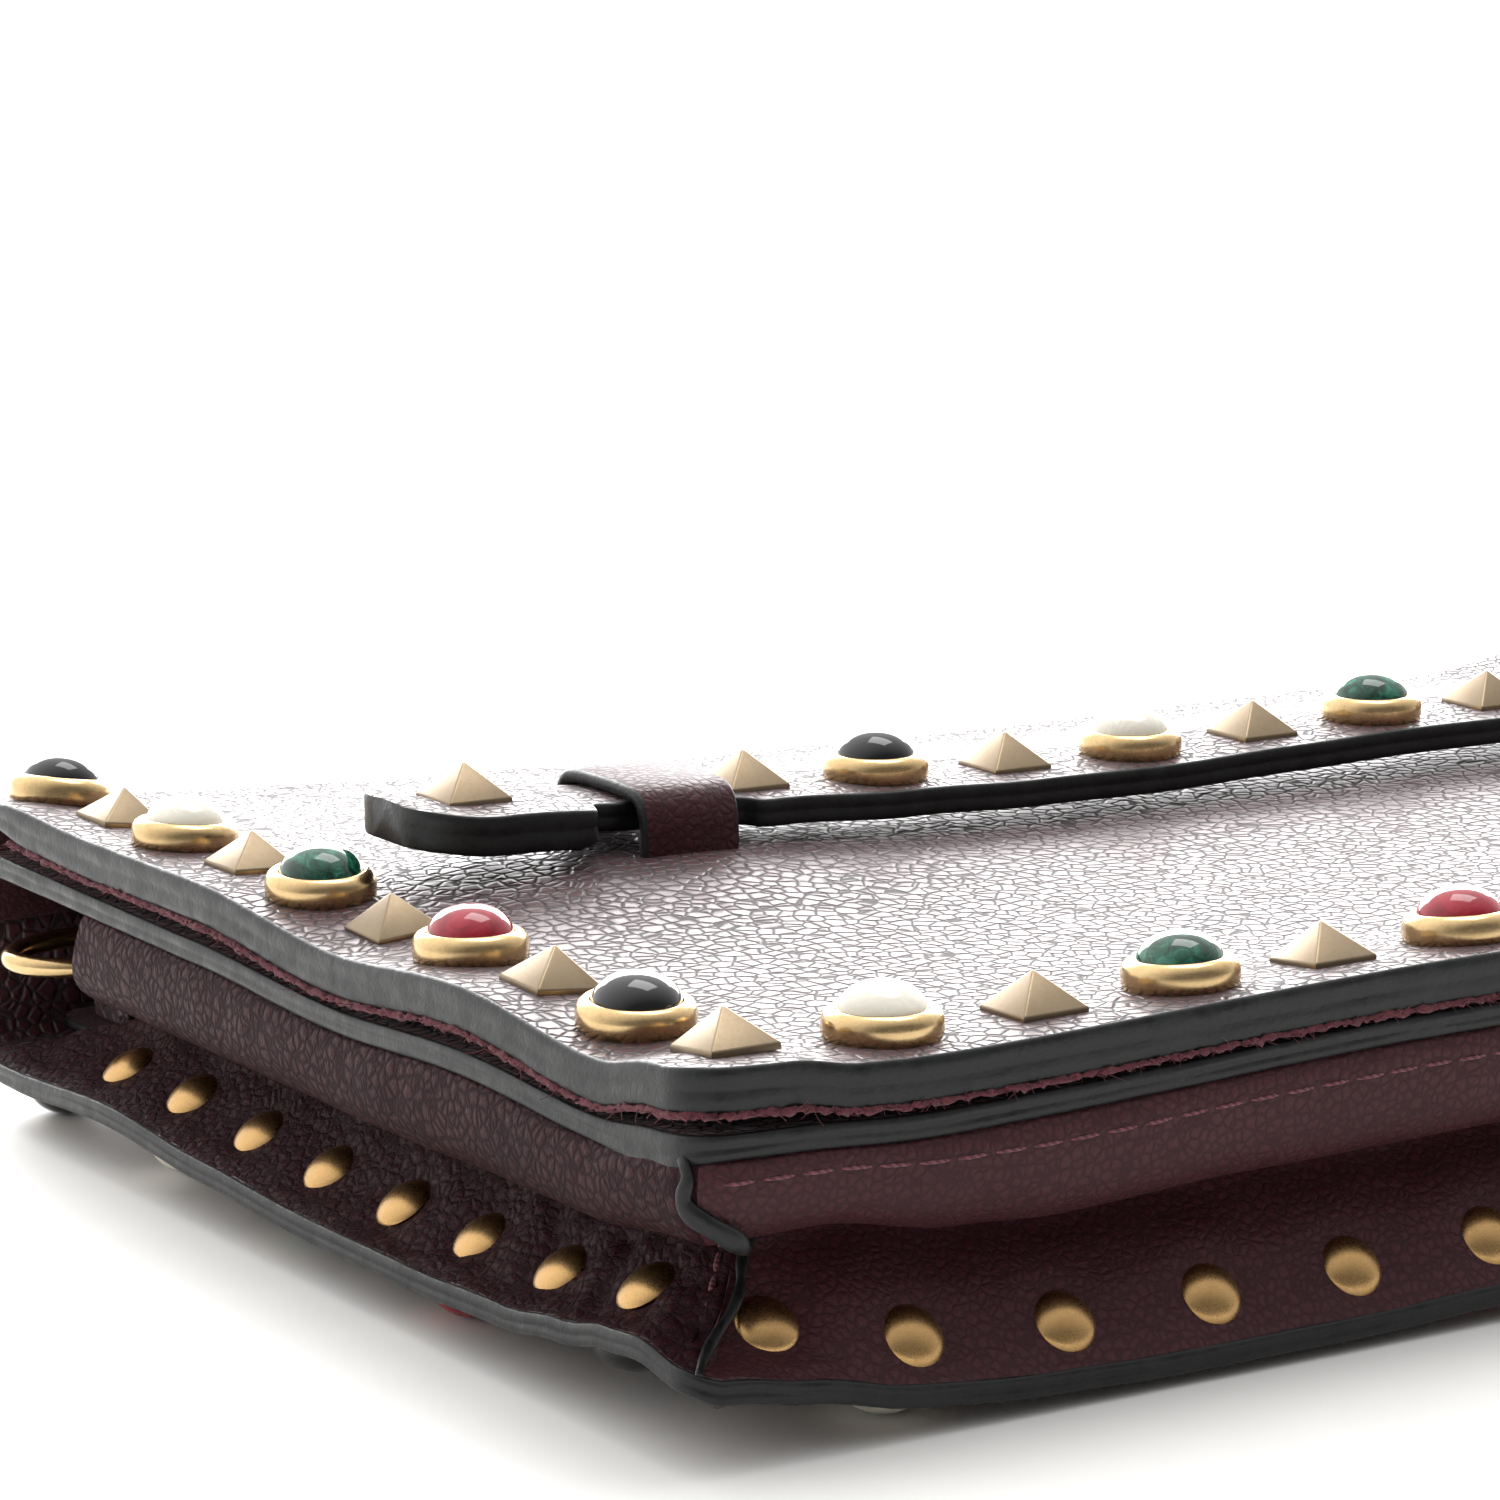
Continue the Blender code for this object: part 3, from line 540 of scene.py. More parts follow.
def thread():
    look = Look("burgundy_thread", (0.12, 0.022, 0.036), 0.6, Sheen_Weight=0.3, Sheen_Roughness=0.4)
    twist = look.node(
        "TexWave", {"wave_type": "BANDS", "bands_direction": "DIAGONAL"}, Vector=look.place, Scale=900.0,
        Distortion=1.5, Detail=1.0,
    ).outputs["Fac"]
    look.put(look.shader.inputs["Base Color"],
             look.ramp(twist, (0.2, (0.07, 0.012, 0.020)), (0.8, (0.19, 0.040, 0.058))))
    look.bump(twist, 0.05)
    return look.material


def metal(name, colour, dark, roughness, wear):
    """Antique gold: fine satin grain, with darker clouds where it is tarnished."""
    look = Look(name, colour, roughness, 1.0)
    cloud = look.span(look.noise(1.3, 4.0, 0.65), 0.35, 0.75)
    speck = look.span(look.noise(0.22, 3.0, 0.6), 0.45, 0.75)
    shade = look.math("MULTIPLY", look.math("ADD", cloud, speck), wear)
    look.put(look.shader.inputs["Base Color"], look.mix(shade, (*colour, 1), (*dark, 1)))
    satin = look.noise(0.12, 2.0, 0.6)
    look.put(look.shader.inputs["Roughness"], look.span(satin, 0.2, 0.8, roughness * 0.8, roughness * 1.25))
    look.bump(satin, 0.004)
    return look.material


def stone(name, deep, pale, vein, size, low=0.3, high=0.7, warp=2.0, **sockets):
    """A polished cabochon with soft marbling."""
    look = Look(name, deep, 0.06, Coat_Weight=0.15, Coat_Roughness=0.03, **sockets)
    marble = look.noise(size, 5.0, 0.6, warp=warp)
    look.put(look.shader.inputs["Base Color"], look.ramp(marble, (low, deep), ((low + high) / 2, pale), (high, vein)))
    look.put(look.shader.inputs["Roughness"], look.span(look.noise(0.6, 2.0), 0.2, 0.8, 0.04, 0.10))
    return look.material


def tape():
    """Woven zip tape."""
    look = Look("zip_tape", (0.045, 0.010, 0.016), 0.8, Sheen_Weight=0.3, Sheen_Roughness=0.5)
    weave, cross = (
        look.node("TexWave", {"wave_type": "BANDS", "bands_direction": axis}, Vector=look.place, Scale=700.0,
                  Distortion=0.6).outputs["Fac"]
        for axis in "XY"
    )
    both = look.math("MULTIPLY", weave, cross)
    look.put(look.shader.inputs["Base Color"],
             look.ramp(both, (0.0, (0.02, 0.004, 0.007)), (1.0, (0.08, 0.018, 0.028))))
    look.bump(both, 0.08)
    return look.material


def steel():
    look = Look("snap_steel", (0.42, 0.40, 0.37), 0.3, 1.0)
    rings = look.node("TexNoise", Vector=look.place, Scale=2500.0, Detail=3.0).outputs["Fac"]
    look.put(look.shader.inputs["Roughness"], look.span(rings, 0.3, 0.7, 0.22, 0.42))
    look.put(look.shader.inputs["Base Color"], look.ramp(rings, (0.3, (0.33, 0.31, 0.29)), (0.7, (0.50, 0.48, 0.45))))
    look.bump(rings, 0.02)
    return look.material


# The first colour of each leather is the painted shade of its creases.
GRAIN = leather("pebbled_leather", 1.35, 0.15, (0.008, 0.003, 0.004), (0.050, 0.012, 0.018), (0.072, 0.019, 0.027),
                crease_width=0.14, fine=0.03, roughness=(0.80, 0.42), sheen=0.12, gloss=0.6, dome=(0.24, 0.8))
SOFT_GRAIN = leather("smooth_leather", 0.85, 0.06, (0.032, 0.008, 0.011), (0.050, 0.0115, 0.0160),
                     (0.070, 0.019, 0.024), crease_width=0.3, roughness=(0.60, 0.50), sheen=0.0, gloss=0.24)
# Painted shade: the side gussets take a darker copy of the gusset leather, with a more crushed grain.
SIDE_GRAIN_SHADED = leather("crushed_leather_shaded", 1.1, 0.10, (0.014, 0.004, 0.006), (0.028, 0.007, 0.010),
                     (0.046, 0.013, 0.017), crease_width=0.3, fine=0.2, roughness=(0.66, 0.52), sheen=0.0, gloss=0.10)
LINING = leather("lining_leather", 0.7, 0.05, (0.030, 0.007, 0.011), (0.045, 0.011, 0.016), (0.060, 0.017, 0.023),
                 crease_width=0.2, roughness=(0.7, 0.6), gloss=0.3)
PAINT, FIBRE, THREAD, TAPE, STEEL = edge_paint(), fibre(), thread(), tape(), steel()
PALE_GOLD = metal("brushed_pale_gold", (0.21, 0.16, 0.105), (0.13, 0.095, 0.058), 0.34, wear=0.2)
RIM_GOLD = metal("polished_antique_gold", (0.60, 0.43, 0.22), (0.34, 0.21, 0.09), 0.22, wear=0.25)
RIVET_BRASS = metal("antique_brass", (0.50, 0.31, 0.13), (0.32, 0.18, 0.07), 0.30, wear=0.25)
STONES = {
    "black": stone("black_stone", (0.003, 0.003, 0.004), (0.005, 0.005, 0.006), (0.010, 0.010, 0.011), 3.0),
    "white": stone("ivory_stone", (0.78, 0.75, 0.66), (0.72, 0.69, 0.60), (0.82, 0.80, 0.73), 2.0,
                   Subsurface_Weight=0.25, Subsurface_Scale=0.0015, Subsurface_Radius=(1.0, 0.8, 0.6)),
    "green": stone("mottled_green_stone", (0.003, 0.026, 0.016), (0.008, 0.085, 0.050), (0.040, 0.21, 0.14), 1.5,
                   low=0.38, high=0.68, warp=1.2),
    "ruby": stone("ruby_stone", (0.19, 0.004, 0.012), (0.30, 0.007, 0.022), (0.38, 0.016, 0.036), 2.2,
                  Subsurface_Weight=0.15, Subsurface_Scale=0.001, Subsurface_Radius=(1.0, 0.2, 0.2)),
}


# ---------------------------------------------------------------- sheets of leather


def bulge(x, y):
    """The flap swells a little under each keeper of the strap."""
    return 2.0 * np.exp(-(((np.abs(x) - 64) / 22) ** 2) - ((y - 2) / 19) ** 2)


def flap_z(x, y):
    return FLAP_TOP + flap_lift(x, y) - sag(x, y) + bulge(x, y)


def place_flap(x, y, depth):
    """Points of the flap: flat, then bent down over the top of the wallet to the middle of the spine."""
    bend = math.pi / 2 * BEND_R
    angle = np.clip(y - BEND_Y, 0, bend) / BEND_R
    past = np.maximum(y - BEND_Y - bend, 0)
    reach = BEND_R - depth
    narrow = 1 - smooth_step(BEND_Y - 6, BEND_Y + 3, y) / RIGHT
    straight = FLAP_TOP - BEND_R - SPINE_MIDDLE
    py = np.minimum(y, BEND_Y) + np.sin(angle) * reach
    pz = FLAP_TOP - BEND_R + np.cos(angle) * reach - past + flap_lift(x, y) * (1 - smooth_step(50, 59, y))
    pz = pz - sag(x, y) * (1 - past / straight) + bulge(x, y)
    return np.stack([x * narrow, py, pz], axis=-1)


def flap_thick(x, y):
    return FLAP_THICK - (FLAP_THICK - FOLD_THICK) * smooth_step(46, 56, y)


def place_back(x, y, depth):
    """Points of the back: its outer face is the lower one, and it bends up to the middle of the spine."""
    bend = math.pi / 2 * BEND_R
    angle = np.clip(y - BEND_Y, 0, bend) / BEND_R
    past = np.maximum(y - BEND_Y - bend, 0)
    up = back_thick(x, y) - depth
    reach = BEND_R - up
    narrow = 1 - smooth_step(BEND_Y - 6, BEND_Y + 3, y) / RIGHT
    lift = back_lift(x, y)
    py = np.minimum(y, BEND_Y) + np.sin(angle) * reach
    pz = BACK_LOW + BEND_R - np.cos(angle) * reach + past + lift
    return np.stack([x * narrow, py, pz], axis=-1)


def back_thick(x, y):
    return BACK_THICK - (BACK_THICK - FOLD_THICK) * smooth_step(46, 56, y)


def front_z(x, y):
    return FRONT_Z + front_lift(x, y) - sag(x, y)


def build_sheets():
    bend = math.pi / 2 * BEND_R
    end = BEND_Y + bend + (FLAP_TOP - BEND_R - SPINE_MIDDLE)
    inset = EDGE_INSET
    grid = rounded_grid(LEFT + inset, RIGHT - inset, BOTTOM + inset, end, CORNER_R - inset, border=14.0)
    flap = slab("flap_leather", grid, place_flap, flap_thick, [GRAIN, PAINT, LINING], far_cut=True)
    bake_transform(flap)
    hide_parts("flap_outer", "flap_lining")

    end = BEND_Y + bend + (SPINE_MIDDLE - BACK_LOW - BEND_R)
    grid = rounded_grid(LEFT + inset, RIGHT - inset, BOTTOM + inset, end, BACK_CORNER_R - inset, border=14.0)
    back = slab("back_leather", grid, place_back, back_thick, [GRAIN, PAINT, GRAIN], far_cut=True)
    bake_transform(back)
    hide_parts("back_panel", "spine")

    inset = EDGE_INSET + 0.4
    grid = rounded_grid(LEFT + inset, RIGHT - inset, BOTTOM + inset, FRONT_TOP - 0.4, CORNER_R - inset, 0.5)

    def place_front(x, y, depth):
        return np.stack([x, y, front_z(x, y) - depth], axis=-1)

    def thick(x, y):
        pinched = np.exp(-(((y - BOTTOM - 6.5) / 4) ** 2) - ((x - LEFT) / 2.5) ** 2)
        return FRONT_THICK + 1.9 * pinched

    front = slab("front_leather", grid, place_front, thick, [GRAIN, PAINT, LINING])
    dress(front, "shell", "grained_leather", "front_panel", "front_lining")


def thin_sheet(name, x, y, z, node, body="shell", look=None, radius=3.0, slot="lining_leather"):
    """A flat sheet with rounded corners and slim painted edges in the place of a plain CAD sheet."""
    inset = 0.25
    grid = rounded_grid(x[0] + inset, x[1] - inset, y[0] + inset, y[1] - inset, radius, radius, 2.0, 12.0, 6.0)

    def place(px, py, depth):
        sag = 0.12 * np.sin(px * 0.045) * np.sin(py * 0.06)
        return np.stack([px, py, z[1] + sag - depth], axis=-1)

    thick = z[1] - z[0]
    obj = slab(name, grid, place, lambda px, py: thick + 0 * px, [look or LINING, PAINT, look or LINING], THIN_EDGE)
    return dress(obj, body, slot, node)


def build_inside():
    for node in ("back_lining", "card_slot_1", "card_slot_2", "card_slot_3", "zip_pocket"):
        low, high = (np.array(corner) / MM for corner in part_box(node))
        room = 4.0 if node == "back_lining" else 0.0  # for the foot of the gusset
        across, up = (low[0] + room, high[0] - room), (low[1] + room, high[1])
        thin_sheet(node + "_leather", across, up, (low[2], high[2]), node)
    build_zip()
    build_snap()


TOOTH_PITCH = 1.25


def build_zip():
    low, high = (np.array(corner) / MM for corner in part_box("zip_teeth"))
    middle = (low[1] + high[1]) / 2
    strip = thin_sheet("zip_tape", (low[0] - 2, high[0] + 2), (low[1] - 1, high[1] + 1), (high[2] - 0.5, high[2] - 0.2),
                       "zip_teeth", look=TAPE, radius=0.6)
    strip.data.materials[1] = TAPE
    edit = bmesh.new()
    bmesh.ops.create_cube(edit, size=1.0, matrix=Matrix.Diagonal((0.75, 1.9, 0.8, 1)))
    bmesh.ops.bevel(edit, geom=edit.edges, offset=0.16, segments=2, affect="EDGES", profile=0.6)
    tooth = bmesh_data(edit)
    count = int((high[0] - low[0]) / TOOTH_PITCH)
    parts = []
    for i in range(count):
        x = low[0] + 1.0 + i * TOOTH_PITCH
        y = middle + (0.55 if i % 2 else -0.55)
        parts.append((*tooth, Matrix.Translation((x, y, high[2] - 0.15))))
        parts.append((*tooth, Matrix.Translation((x, y, low[2] + 0.35))))
    dress(gather("zip_teeth_brass", parts, [RIVET_BRASS], crisp=40), "shell", "hardware_metal")
    low, high = (np.array(corner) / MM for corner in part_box("zip_slider"))
    centre, size = (low + high) / 2, high - low
    edit = bmesh.new()
    bmesh.ops.create_cube(edit, size=1.0, matrix=Matrix.Diagonal((size[0], size[1], size[2], 1)))
    for v in edit.verts:
        if v.co.x > 0:
            v.co.y *= 0.72
    bmesh.ops.bevel(edit, geom=edit.edges, offset=0.45, segments=3, affect="EDGES", profile=0.6)
    body = (*bmesh_data(edit), Matrix.Translation(centre))
    reach = size[0] * 0.35
    bridge = flowing([(centre[0] - reach, middle, low[2] + 0.2), (centre[0] - reach * 0.6, middle, low[2] - 1.0),
                      (centre[0] + reach * 0.6, middle, low[2] - 1.0), (centre[0] + reach, middle, low[2] + 0.2)], 6)
    slider = gather("zip_slider_brass", [body, tube_data(bridge, 0.5, 10)], [RIVET_BRASS], crisp=40)
    dress(slider, "zip_slider", "hardware_metal", "zip_slider")
    low, high = (np.array(corner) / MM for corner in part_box("zip_pull"))
    thin_sheet("zip_pull_leather", (low[0], high[0]), (low[1], high[1]), (low[2], high[2]), "zip_pull",
               body="zip_slider", look=GRAIN, radius=1.3, slot="grained_leather")


def build_snap():
    low, high = (np.array(corner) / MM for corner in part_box("snap_socket"))
    radius, z = (high[0] - low[0]) / 2, high[2]
    y = (low[1] + high[1]) / 2
    cap = [(0, z - 0.9), (1.6, z - 0.9), (2.0, z - 0.75), (2.3, z - 0.1), (2.9, z + 0.12), (radius - 0.6, z + 0.15),
           (radius - 0.1, z - 0.05), (radius, z - 0.4), (radius, low[2] + 0.1), (0, low[2] + 0.1)]
    place = Matrix.Translation((0, y, 0))
    dress(gather("snap_socket_steel", [(*turned(cap), place)], [STEEL], crisp=40), "shell", "snap_metal", "snap_socket")
    low, high = (np.array(corner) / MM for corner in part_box("snap_stud"))
    radius, z = (high[0] - low[0]) / 2, low[2]
    cap = [(0, high[2]), (radius, high[2]), (radius, z + 0.3), (radius - 0.3, z - 0.02), (2.0, z - 0.02),
           (1.7, z + 0.05), (0, z + 0.05)]
    dress(gather("snap_stud_steel", [(*turned(cap), place)], [STEEL], crisp=40), "flap", "snap_metal", "snap_stud")


# ---------------------------------------------------------------- gusset

# Outer face of the gusset as (inset from the outline, share of the way), from the front panel in to the fold
UPPER = [(1.1, 0.0), (0.5, 0.06), (0.15, 0.18), (0.1, 0.34), (0.25, 0.52), (0.7, 0.69), (1.7, 0.85), (3.4, 0.96),
         (6.0, 1.0), (8.6, 1.0)]
# and from the fold out to the back panel, which is steeper along the bottom than at the sides
LOWER = [(9.4, 0.05), (8.9, 0.18), (8.1, 0.34), (7.1, 0.50), (5.9, 0.64), (4.6, 0.76), (3.1, 0.87), (1.7, 0.94),
         (0.8, 0.98), (0.3, 1.0)]
BOTTOM_INSETS = [9.6, 8.7, 6.6, 4.8, 3.5, 2.4, 1.4, 0.8, 0.45, 0.3]
RIVET_SHARE = 0.71
SIDE_RIVET_SHIFT, END_RIVET_SHIFT = -4.2, 2.0
gusset_end = level((0.0, 36.0), (1.0, 39.0), (2.0, 54.0))
GUSSET_THICK = 1.1
BAND_SEAM = 0.24  # how far down the upper half the seam runs
RIVET = [(0, 0.98), (0.5, 0.96), (1.1, 0.85), (1.65, 0.65), (2.1, 0.40), (2.38, 0.18), (2.48, 0.02), (2.42, -0.12),
         (2.1, -0.25), (0, -0.25)]


def gusset_section():
    """Insets, drops, and insets along the bottom. A drop is 0 at the front panel, 1 at the fold and 2 at the back."""
    knots = UPPER + [(d, 1 + s) for d, s in LOWER]
    steep = UPPER + [(d, 1 + s) for d, (_, s) in zip(BOTTOM_INSETS, LOWER)]
    return (*flowing(knots, 3).T, flowing(steep, 3)[:, 0])


def gusset_grid(side):
    """The outer face of one gusset piece as rows of section points along the border, and the points' drops."""
    side_insets, drops, bottom_insets = gusset_section()
    if side == "bottom":
        ways = [("turn", t) for t in np.linspace(0.5, 1, 7)] + [("run", t) for t in np.linspace(0, 1, 130)[1:]]
        ways = ways[:-1] + [("far_run", 0.0)] + [("far_turn", t) for t in np.linspace(1, 0.5, 7)[1:]]
    else:
        ways = [("rise", t) for t in np.linspace(0, 1, 100)[:-1]] + [("turn", t) for t in np.linspace(0, 0.5, 7)]
    high = np.clip(1 - drops / 2, 0, 1)
    outer = BACK_CORNER_R + (CORNER_R - BACK_CORNER_R) * high
    rows = []
    for way, t in ways:
        steep = smooth_step(0, 0.07, t) * smooth_step(0, 0.07, 1 - t) if way == "run" else 0.0
        insets = side_insets * (1 - steep) + bottom_insets * steep
        radius = np.maximum(outer - insets, 0.8)
        angle = math.radians(180 + 90 * t)
        if way in ("turn", "far_turn"):
            x = LEFT + insets + radius + radius * math.cos(angle)
            y = BOTTOM + insets + radius + radius * math.sin(angle)
        elif way in ("run", "far_run"):
            start = LEFT + insets + radius
            x = start + t * (-2 * start)
            y = BOTTOM + insets
        else:
            x = LEFT + insets
            stop = BOTTOM + insets + radius
            start = gusset_end(drops)
            y = start + t * (stop - start)
        if way in ("far_turn", "far_run"):
            x = -x
        if side == "right":
            x = -x
        top = front_z(x[0], y[0]) - FRONT_THICK + 0.15
        low = BACK_LOW + BACK_THICK - 0.1 + back_lift(x[-1], y[-1])
        fold = fold_height(x[-1], y[-1])
        z = np.where(drops <= 1, top + (fold - top) * drops, fold + (low - fold) * (drops - 1))
        rows.append(np.stack([x, y, z], axis=-1))
    return np.array(rows), drops


def rivet_spots(points, drops, side):
    """Where the rivets stand on a gusset piece, as (point, normal)."""
    column = int(np.argmin(np.abs(drops - 1 - RIVET_SHARE)))
    normal = grid_normals(points)
    if side == "bottom":
        wanted, axis = [STUD_X0 + i * PITCH_X for i in range(LAST_ALONG + 1)], 0
        wanted[0], wanted[-1] = wanted[0] + END_RIVET_SHIFT, wanted[-1] - END_RIVET_SHIFT
    else:
        wanted, axis = [STUD_Y0 + j * PITCH_Y + SIDE_RIVET_SHIFT for j in range(1, LAST_UP)], 1
    spots = []
    line = points[:, column]
    for value in wanted:
        i = int(np.argmin(np.abs(line[:, axis] - value)))
        n = normal[i, column]
        outward = Vector((0, -1, 0.6)) if side == "bottom" else Vector((-1 if side == "left" else 1, 0, 0.6))
        if Vector(n).dot(outward) < 0:
            n = -n
        spot = line[i].copy()
        spot[axis] = value
        spots.append((spot, n))
    return spots


def build_gusset():
    rivet = turned(RIVET)
    for side in ("bottom", "left", "right"):
        points, drops = gusset_grid(side)
        spots = rivet_spots(points, drops, side)
        normal = grid_normals(points)
        outward = Vector((0, -1, 0)) if side == "bottom" else Vector((-1 if side == "left" else 1, 0, 0))
        flip = Vector(normal[len(points) // 2, 6]).dot(outward) < 0
        if flip:
            normal = -normal
        lower = smooth_step(1.05, 1.25, drops) * (1 - smooth_step(1.9, 2.0, drops))
        upper = smooth_step(0.05, 0.2, drops) * (1 - smooth_step(0.8, 1.0, drops))
        push = 0.22 * ripple(points, 13.0, 3.1) * (lower + upper)
        if side == "bottom":
            push = push + 0.16 * ripple(points, 4.5, 8.2) * (lower + 0.6 * upper)
            push = push - 0.10 * creases(points * (1, 1, 0.5), 4.0, 5.0) * (0.6 * lower + upper)
        else:
            near = np.exp(-(((points[..., 1] - BOTTOM) / 46) ** 2))
            push = push + (0.20 + 0.30 * near) * ripple(points, 4.4, 8.2) * lower
            push = push - (0.20 + 0.35 * near) * creases(points * (1, 1, 0.7), 4.6, 5.0) * lower
            push = push - 0.12 * creases(points, 7.0, 1.0) * upper
        for spot, _ in spots:
            away = np.linalg.norm(points - spot, axis=-1)
            calm = np.exp(-((away / 2.6) ** 2))
            ring = np.exp(-(((away - 4.4) / 1.5) ** 2))
            push = push * (1 - calm) - 0.35 * calm + 0.10 * ring
        points = points + normal * push[..., None]
        # The side pieces take the darker copy of the leather, which is painted shade.
        look = SOFT_GRAIN if side == "bottom" else SIDE_GRAIN_SHADED
        name = f"gusset_{side}"
        obj = skin(name + "_leather", points, GUSSET_THICK, [look, LINING, LINING], flip)
        dress(obj, "shell", "grained_leather", name)
        parts = []
        for spot, n in spots:
            up = Vector(n).normalized()
            along = Vector((1, 0, 0)) if side == "bottom" else Vector((0, 1, 0))
            across = up.cross(along).normalized()
            turn = Matrix((across.cross(up), across, up)).transposed().to_4x4()
            parts.append((*rivet, Matrix.Translation(Vector(spot) - up * 0.2) @ turn))
        dress(gather(f"rivets_{side}", parts, [RIVET_BRASS], crisp=50), "shell", "rivet_metal", f"gusset_rivets_{side}")
        if side == "bottom":
            build_band_stitches(points, normal, drops)


def stitch_row(name, path, normals, length, gap, radius):
    """A row of stitches, each a short thread half sunk in the leather."""
    path, normals = np.asarray(path), np.asarray(normals)
    steps = np.concatenate([[0], np.cumsum(np.linalg.norm(np.diff(path, axis=0), axis=1))])
    parts = []
    start = 0.0
    while start + length < steps[-1]:
        at = start + np.linspace(0, length, 7)
        line = np.stack([np.interp(at, steps, path[:, k]) for k in range(3)], axis=1)
        out = np.stack([np.interp(at, steps, normals[:, k]) for k in range(3)], axis=1)
        arch = np.sin(np.linspace(0, math.pi, 7))
        line = line + out * (radius * (0.9 * arch - 0.5))[:, None]
        width = radius * np.array([0.55, 0.9, 1, 1, 1, 0.9, 0.55])
        parts.append(tube_data(line, width, 8, up=out[3]))
        start += length + gap
    obj = gather(name, parts, [THREAD], crisp=60)
    dress(obj, "shell", "grained_leather")


def build_band_stitches(points, normal, drops):
    """The seam that joins the bottom gusset to the front panel, a little below its painted edge."""
    column = int(np.argmin(np.abs(drops - BAND_SEAM)))
    rows = slice(4, -4)
    stitch_row("band_stitches_bottom", points[rows, column], normal[rows, column], 2.5, 0.7, 0.13)


def build_corner_seams():
    """The painted raw edges of the gusset pieces where they meet at each bottom corner, with their stitches."""
    for side, sign in (("left", 1), ("right", -1)):
        points, drops = gusset_grid(side)
        line = points[-1]
        outward = Vector((-sign, -1, 0)).normalized()
        along = np.array((sign, -1.0, 0)) / math.sqrt(2)
        height = line[:, 2]
        share = np.clip(drops, 0, 2)
        wander = -1.2 + 0.5 * np.sin(share * 9) + 3.2 * smooth_step(0.25, 0.85, share)
        wander = wander - 1.6 * smooth_step(0.9, 1.6, share)
        low_part = smooth_step(0.85, 1.1, share)
        centre = line + np.array(outward)[None] * (0.22 - 0.12 * low_part)[:, None] + along * wander[:, None]
        radius = 0.45 + 0.4 * smooth_step(0.1, 0.7, share) - 0.45 * low_part + 0.05 * np.sin(height * 3.1)
        seam = tube_data(centre, radius, 12, flat=0.7, up=outward)
        obj = gather(f"corner_seam_edge_{side}", [seam], [PAINT], crisp=60)
        dress(obj, "shell", "edge_paint", f"corner_seam_{side}")
        keep = (drops > 1.12) & (drops < 1.8)
        path = line[keep] + np.array((-sign * 0.15, 1.6, 0)) + np.array(outward) * 0.25
        stitch_row(f"corner_stitches_{side}", path, np.repeat([list(outward)], keep.sum(), axis=0), 1.5, 0.45, 0.22)


# ---------------------------------------------------------------- flap border


def border_points(sheet_end):
    """Points down the left side, along the bottom and up the right side of the border, with outward normals."""
    r = CORNER_R
    path, out = [], []
    for y in np.arange(sheet_end, BOTTOM + r, -0.4):
        path.append((LEFT, y))
        out.append((-1, 0))
    for a in np.arange(180, 270, 4.4):
        c, s = math.cos(math.radians(a)), math.sin(math.radians(a))
        path.append((LEFT + r + r * c, BOTTOM + r + r * s))
        out.append((c, s))
    for x in np.arange(LEFT + r, RIGHT - r, 0.4):
        path.append((x, BOTTOM))
        out.append((0, -1))
    for a in np.arange(270, 360, 4.4):
        c, s = math.cos(math.radians(a)), math.sin(math.radians(a))
        path.append((RIGHT - r + r * c, BOTTOM + r + r * s))
        out.append((c, s))
    for y in np.arange(BOTTOM + r, sheet_end, 0.4):
        path.append((RIGHT, y))
        out.append((1, 0))
    return np.array(path), np.array(out)


LOOSE_FIBRES = 1500


def build_raw_edge():
    """The rough, unpainted leather that shows under the flap's painted edge, and its loose fibres."""
    path, out = border_points(50.0)
    low = FLAP_TOP - FLAP_THICK + flap_lift(path[:, 0], path[:, 1])
    section = np.array([(-1.2, 0.25), (-0.25, 0.2), (0.0, 0.0), (-0.05, -0.22), (-0.3, -0.38), (-1.2, -0.2)])
    jitter = scatter.normal(0, 1, (len(path), len(section), 2)) * (0.10, 0.11)
    jitter[:, [0, 5]] = 0
    shape = section[None] + jitter
    points = np.concatenate(
        [path[:, None] + out[:, None] * shape[..., :1], low[:, None, None] + shape[..., 1:]], axis=-1
    )
    faces = quads(len(path), len(section), wrap=True)
    count = len(path) * len(section)
    faces += [tuple(range(len(section))), tuple(range(count - 1, count - len(section) - 1, -1))]
    obj = make("flap_raw_edge", points, faces, [FIBRE])
    dress(obj, "flap", "grained_leather")
    parts = []
    for _ in range(LOOSE_FIBRES):
        i = int(scatter.integers(len(path)))
        root = np.array((*(path[i] - out[i] * 0.15), low[i] - 0.12 + scatter.normal(0, 0.12)))
        length = float(np.clip(scatter.gamma(2.0, 0.22), 0.15, 2.2))
        tangent = np.array((-out[i][1], out[i][0], 0))
        way = np.array((*out[i], 0)) * scatter.uniform(0.3, 0.9) + tangent * scatter.normal(0, 0.7)
        way[2] = scatter.normal(-0.25, 0.35)
        way /= np.linalg.norm(way)
        curl = scatter.normal(0, 0.35, 3) * length
        t = np.linspace(0, 1, 5)[:, None]
        line = root + way * length * t + curl * t**2
        parts.append(tube_data(line, np.linspace(0.045, 0.018, 5), 3))
    obj = gather("flap_loose_fibres", parts, [FIBRE])
    dress(obj, "flap", "grained_leather")


def pyramid():
    """A pyramid stud with softened edges on a thin skirt."""
    half, skirt, top = 2.85, 0.35, 3.1
    edit = bmesh.new()
    corners = [(-half, -half), (half, -half), (half, half), (-half, half)]
    low = [edit.verts.new((x, y, -0.15)) for x, y in corners]
    high = [edit.verts.new((x, y, skirt)) for x, y in corners]
    tip = edit.verts.new((0, 0, top))
    edit.faces.new(list(reversed(low)))
    for i in range(4):
        j = (i + 1) % 4
        edit.faces.new((low[i], low[j], high[j], high[i]))
        edit.faces.new((high[i], high[j], tip))
    geometry = [e for e in edit.edges if max(v.co.z for v in e.verts) > 0]
    bmesh.ops.bevel(edit, geom=geometry, offset=0.14, segments=2, affect="EDGES", profile=0.6)
    return bmesh_data(edit)


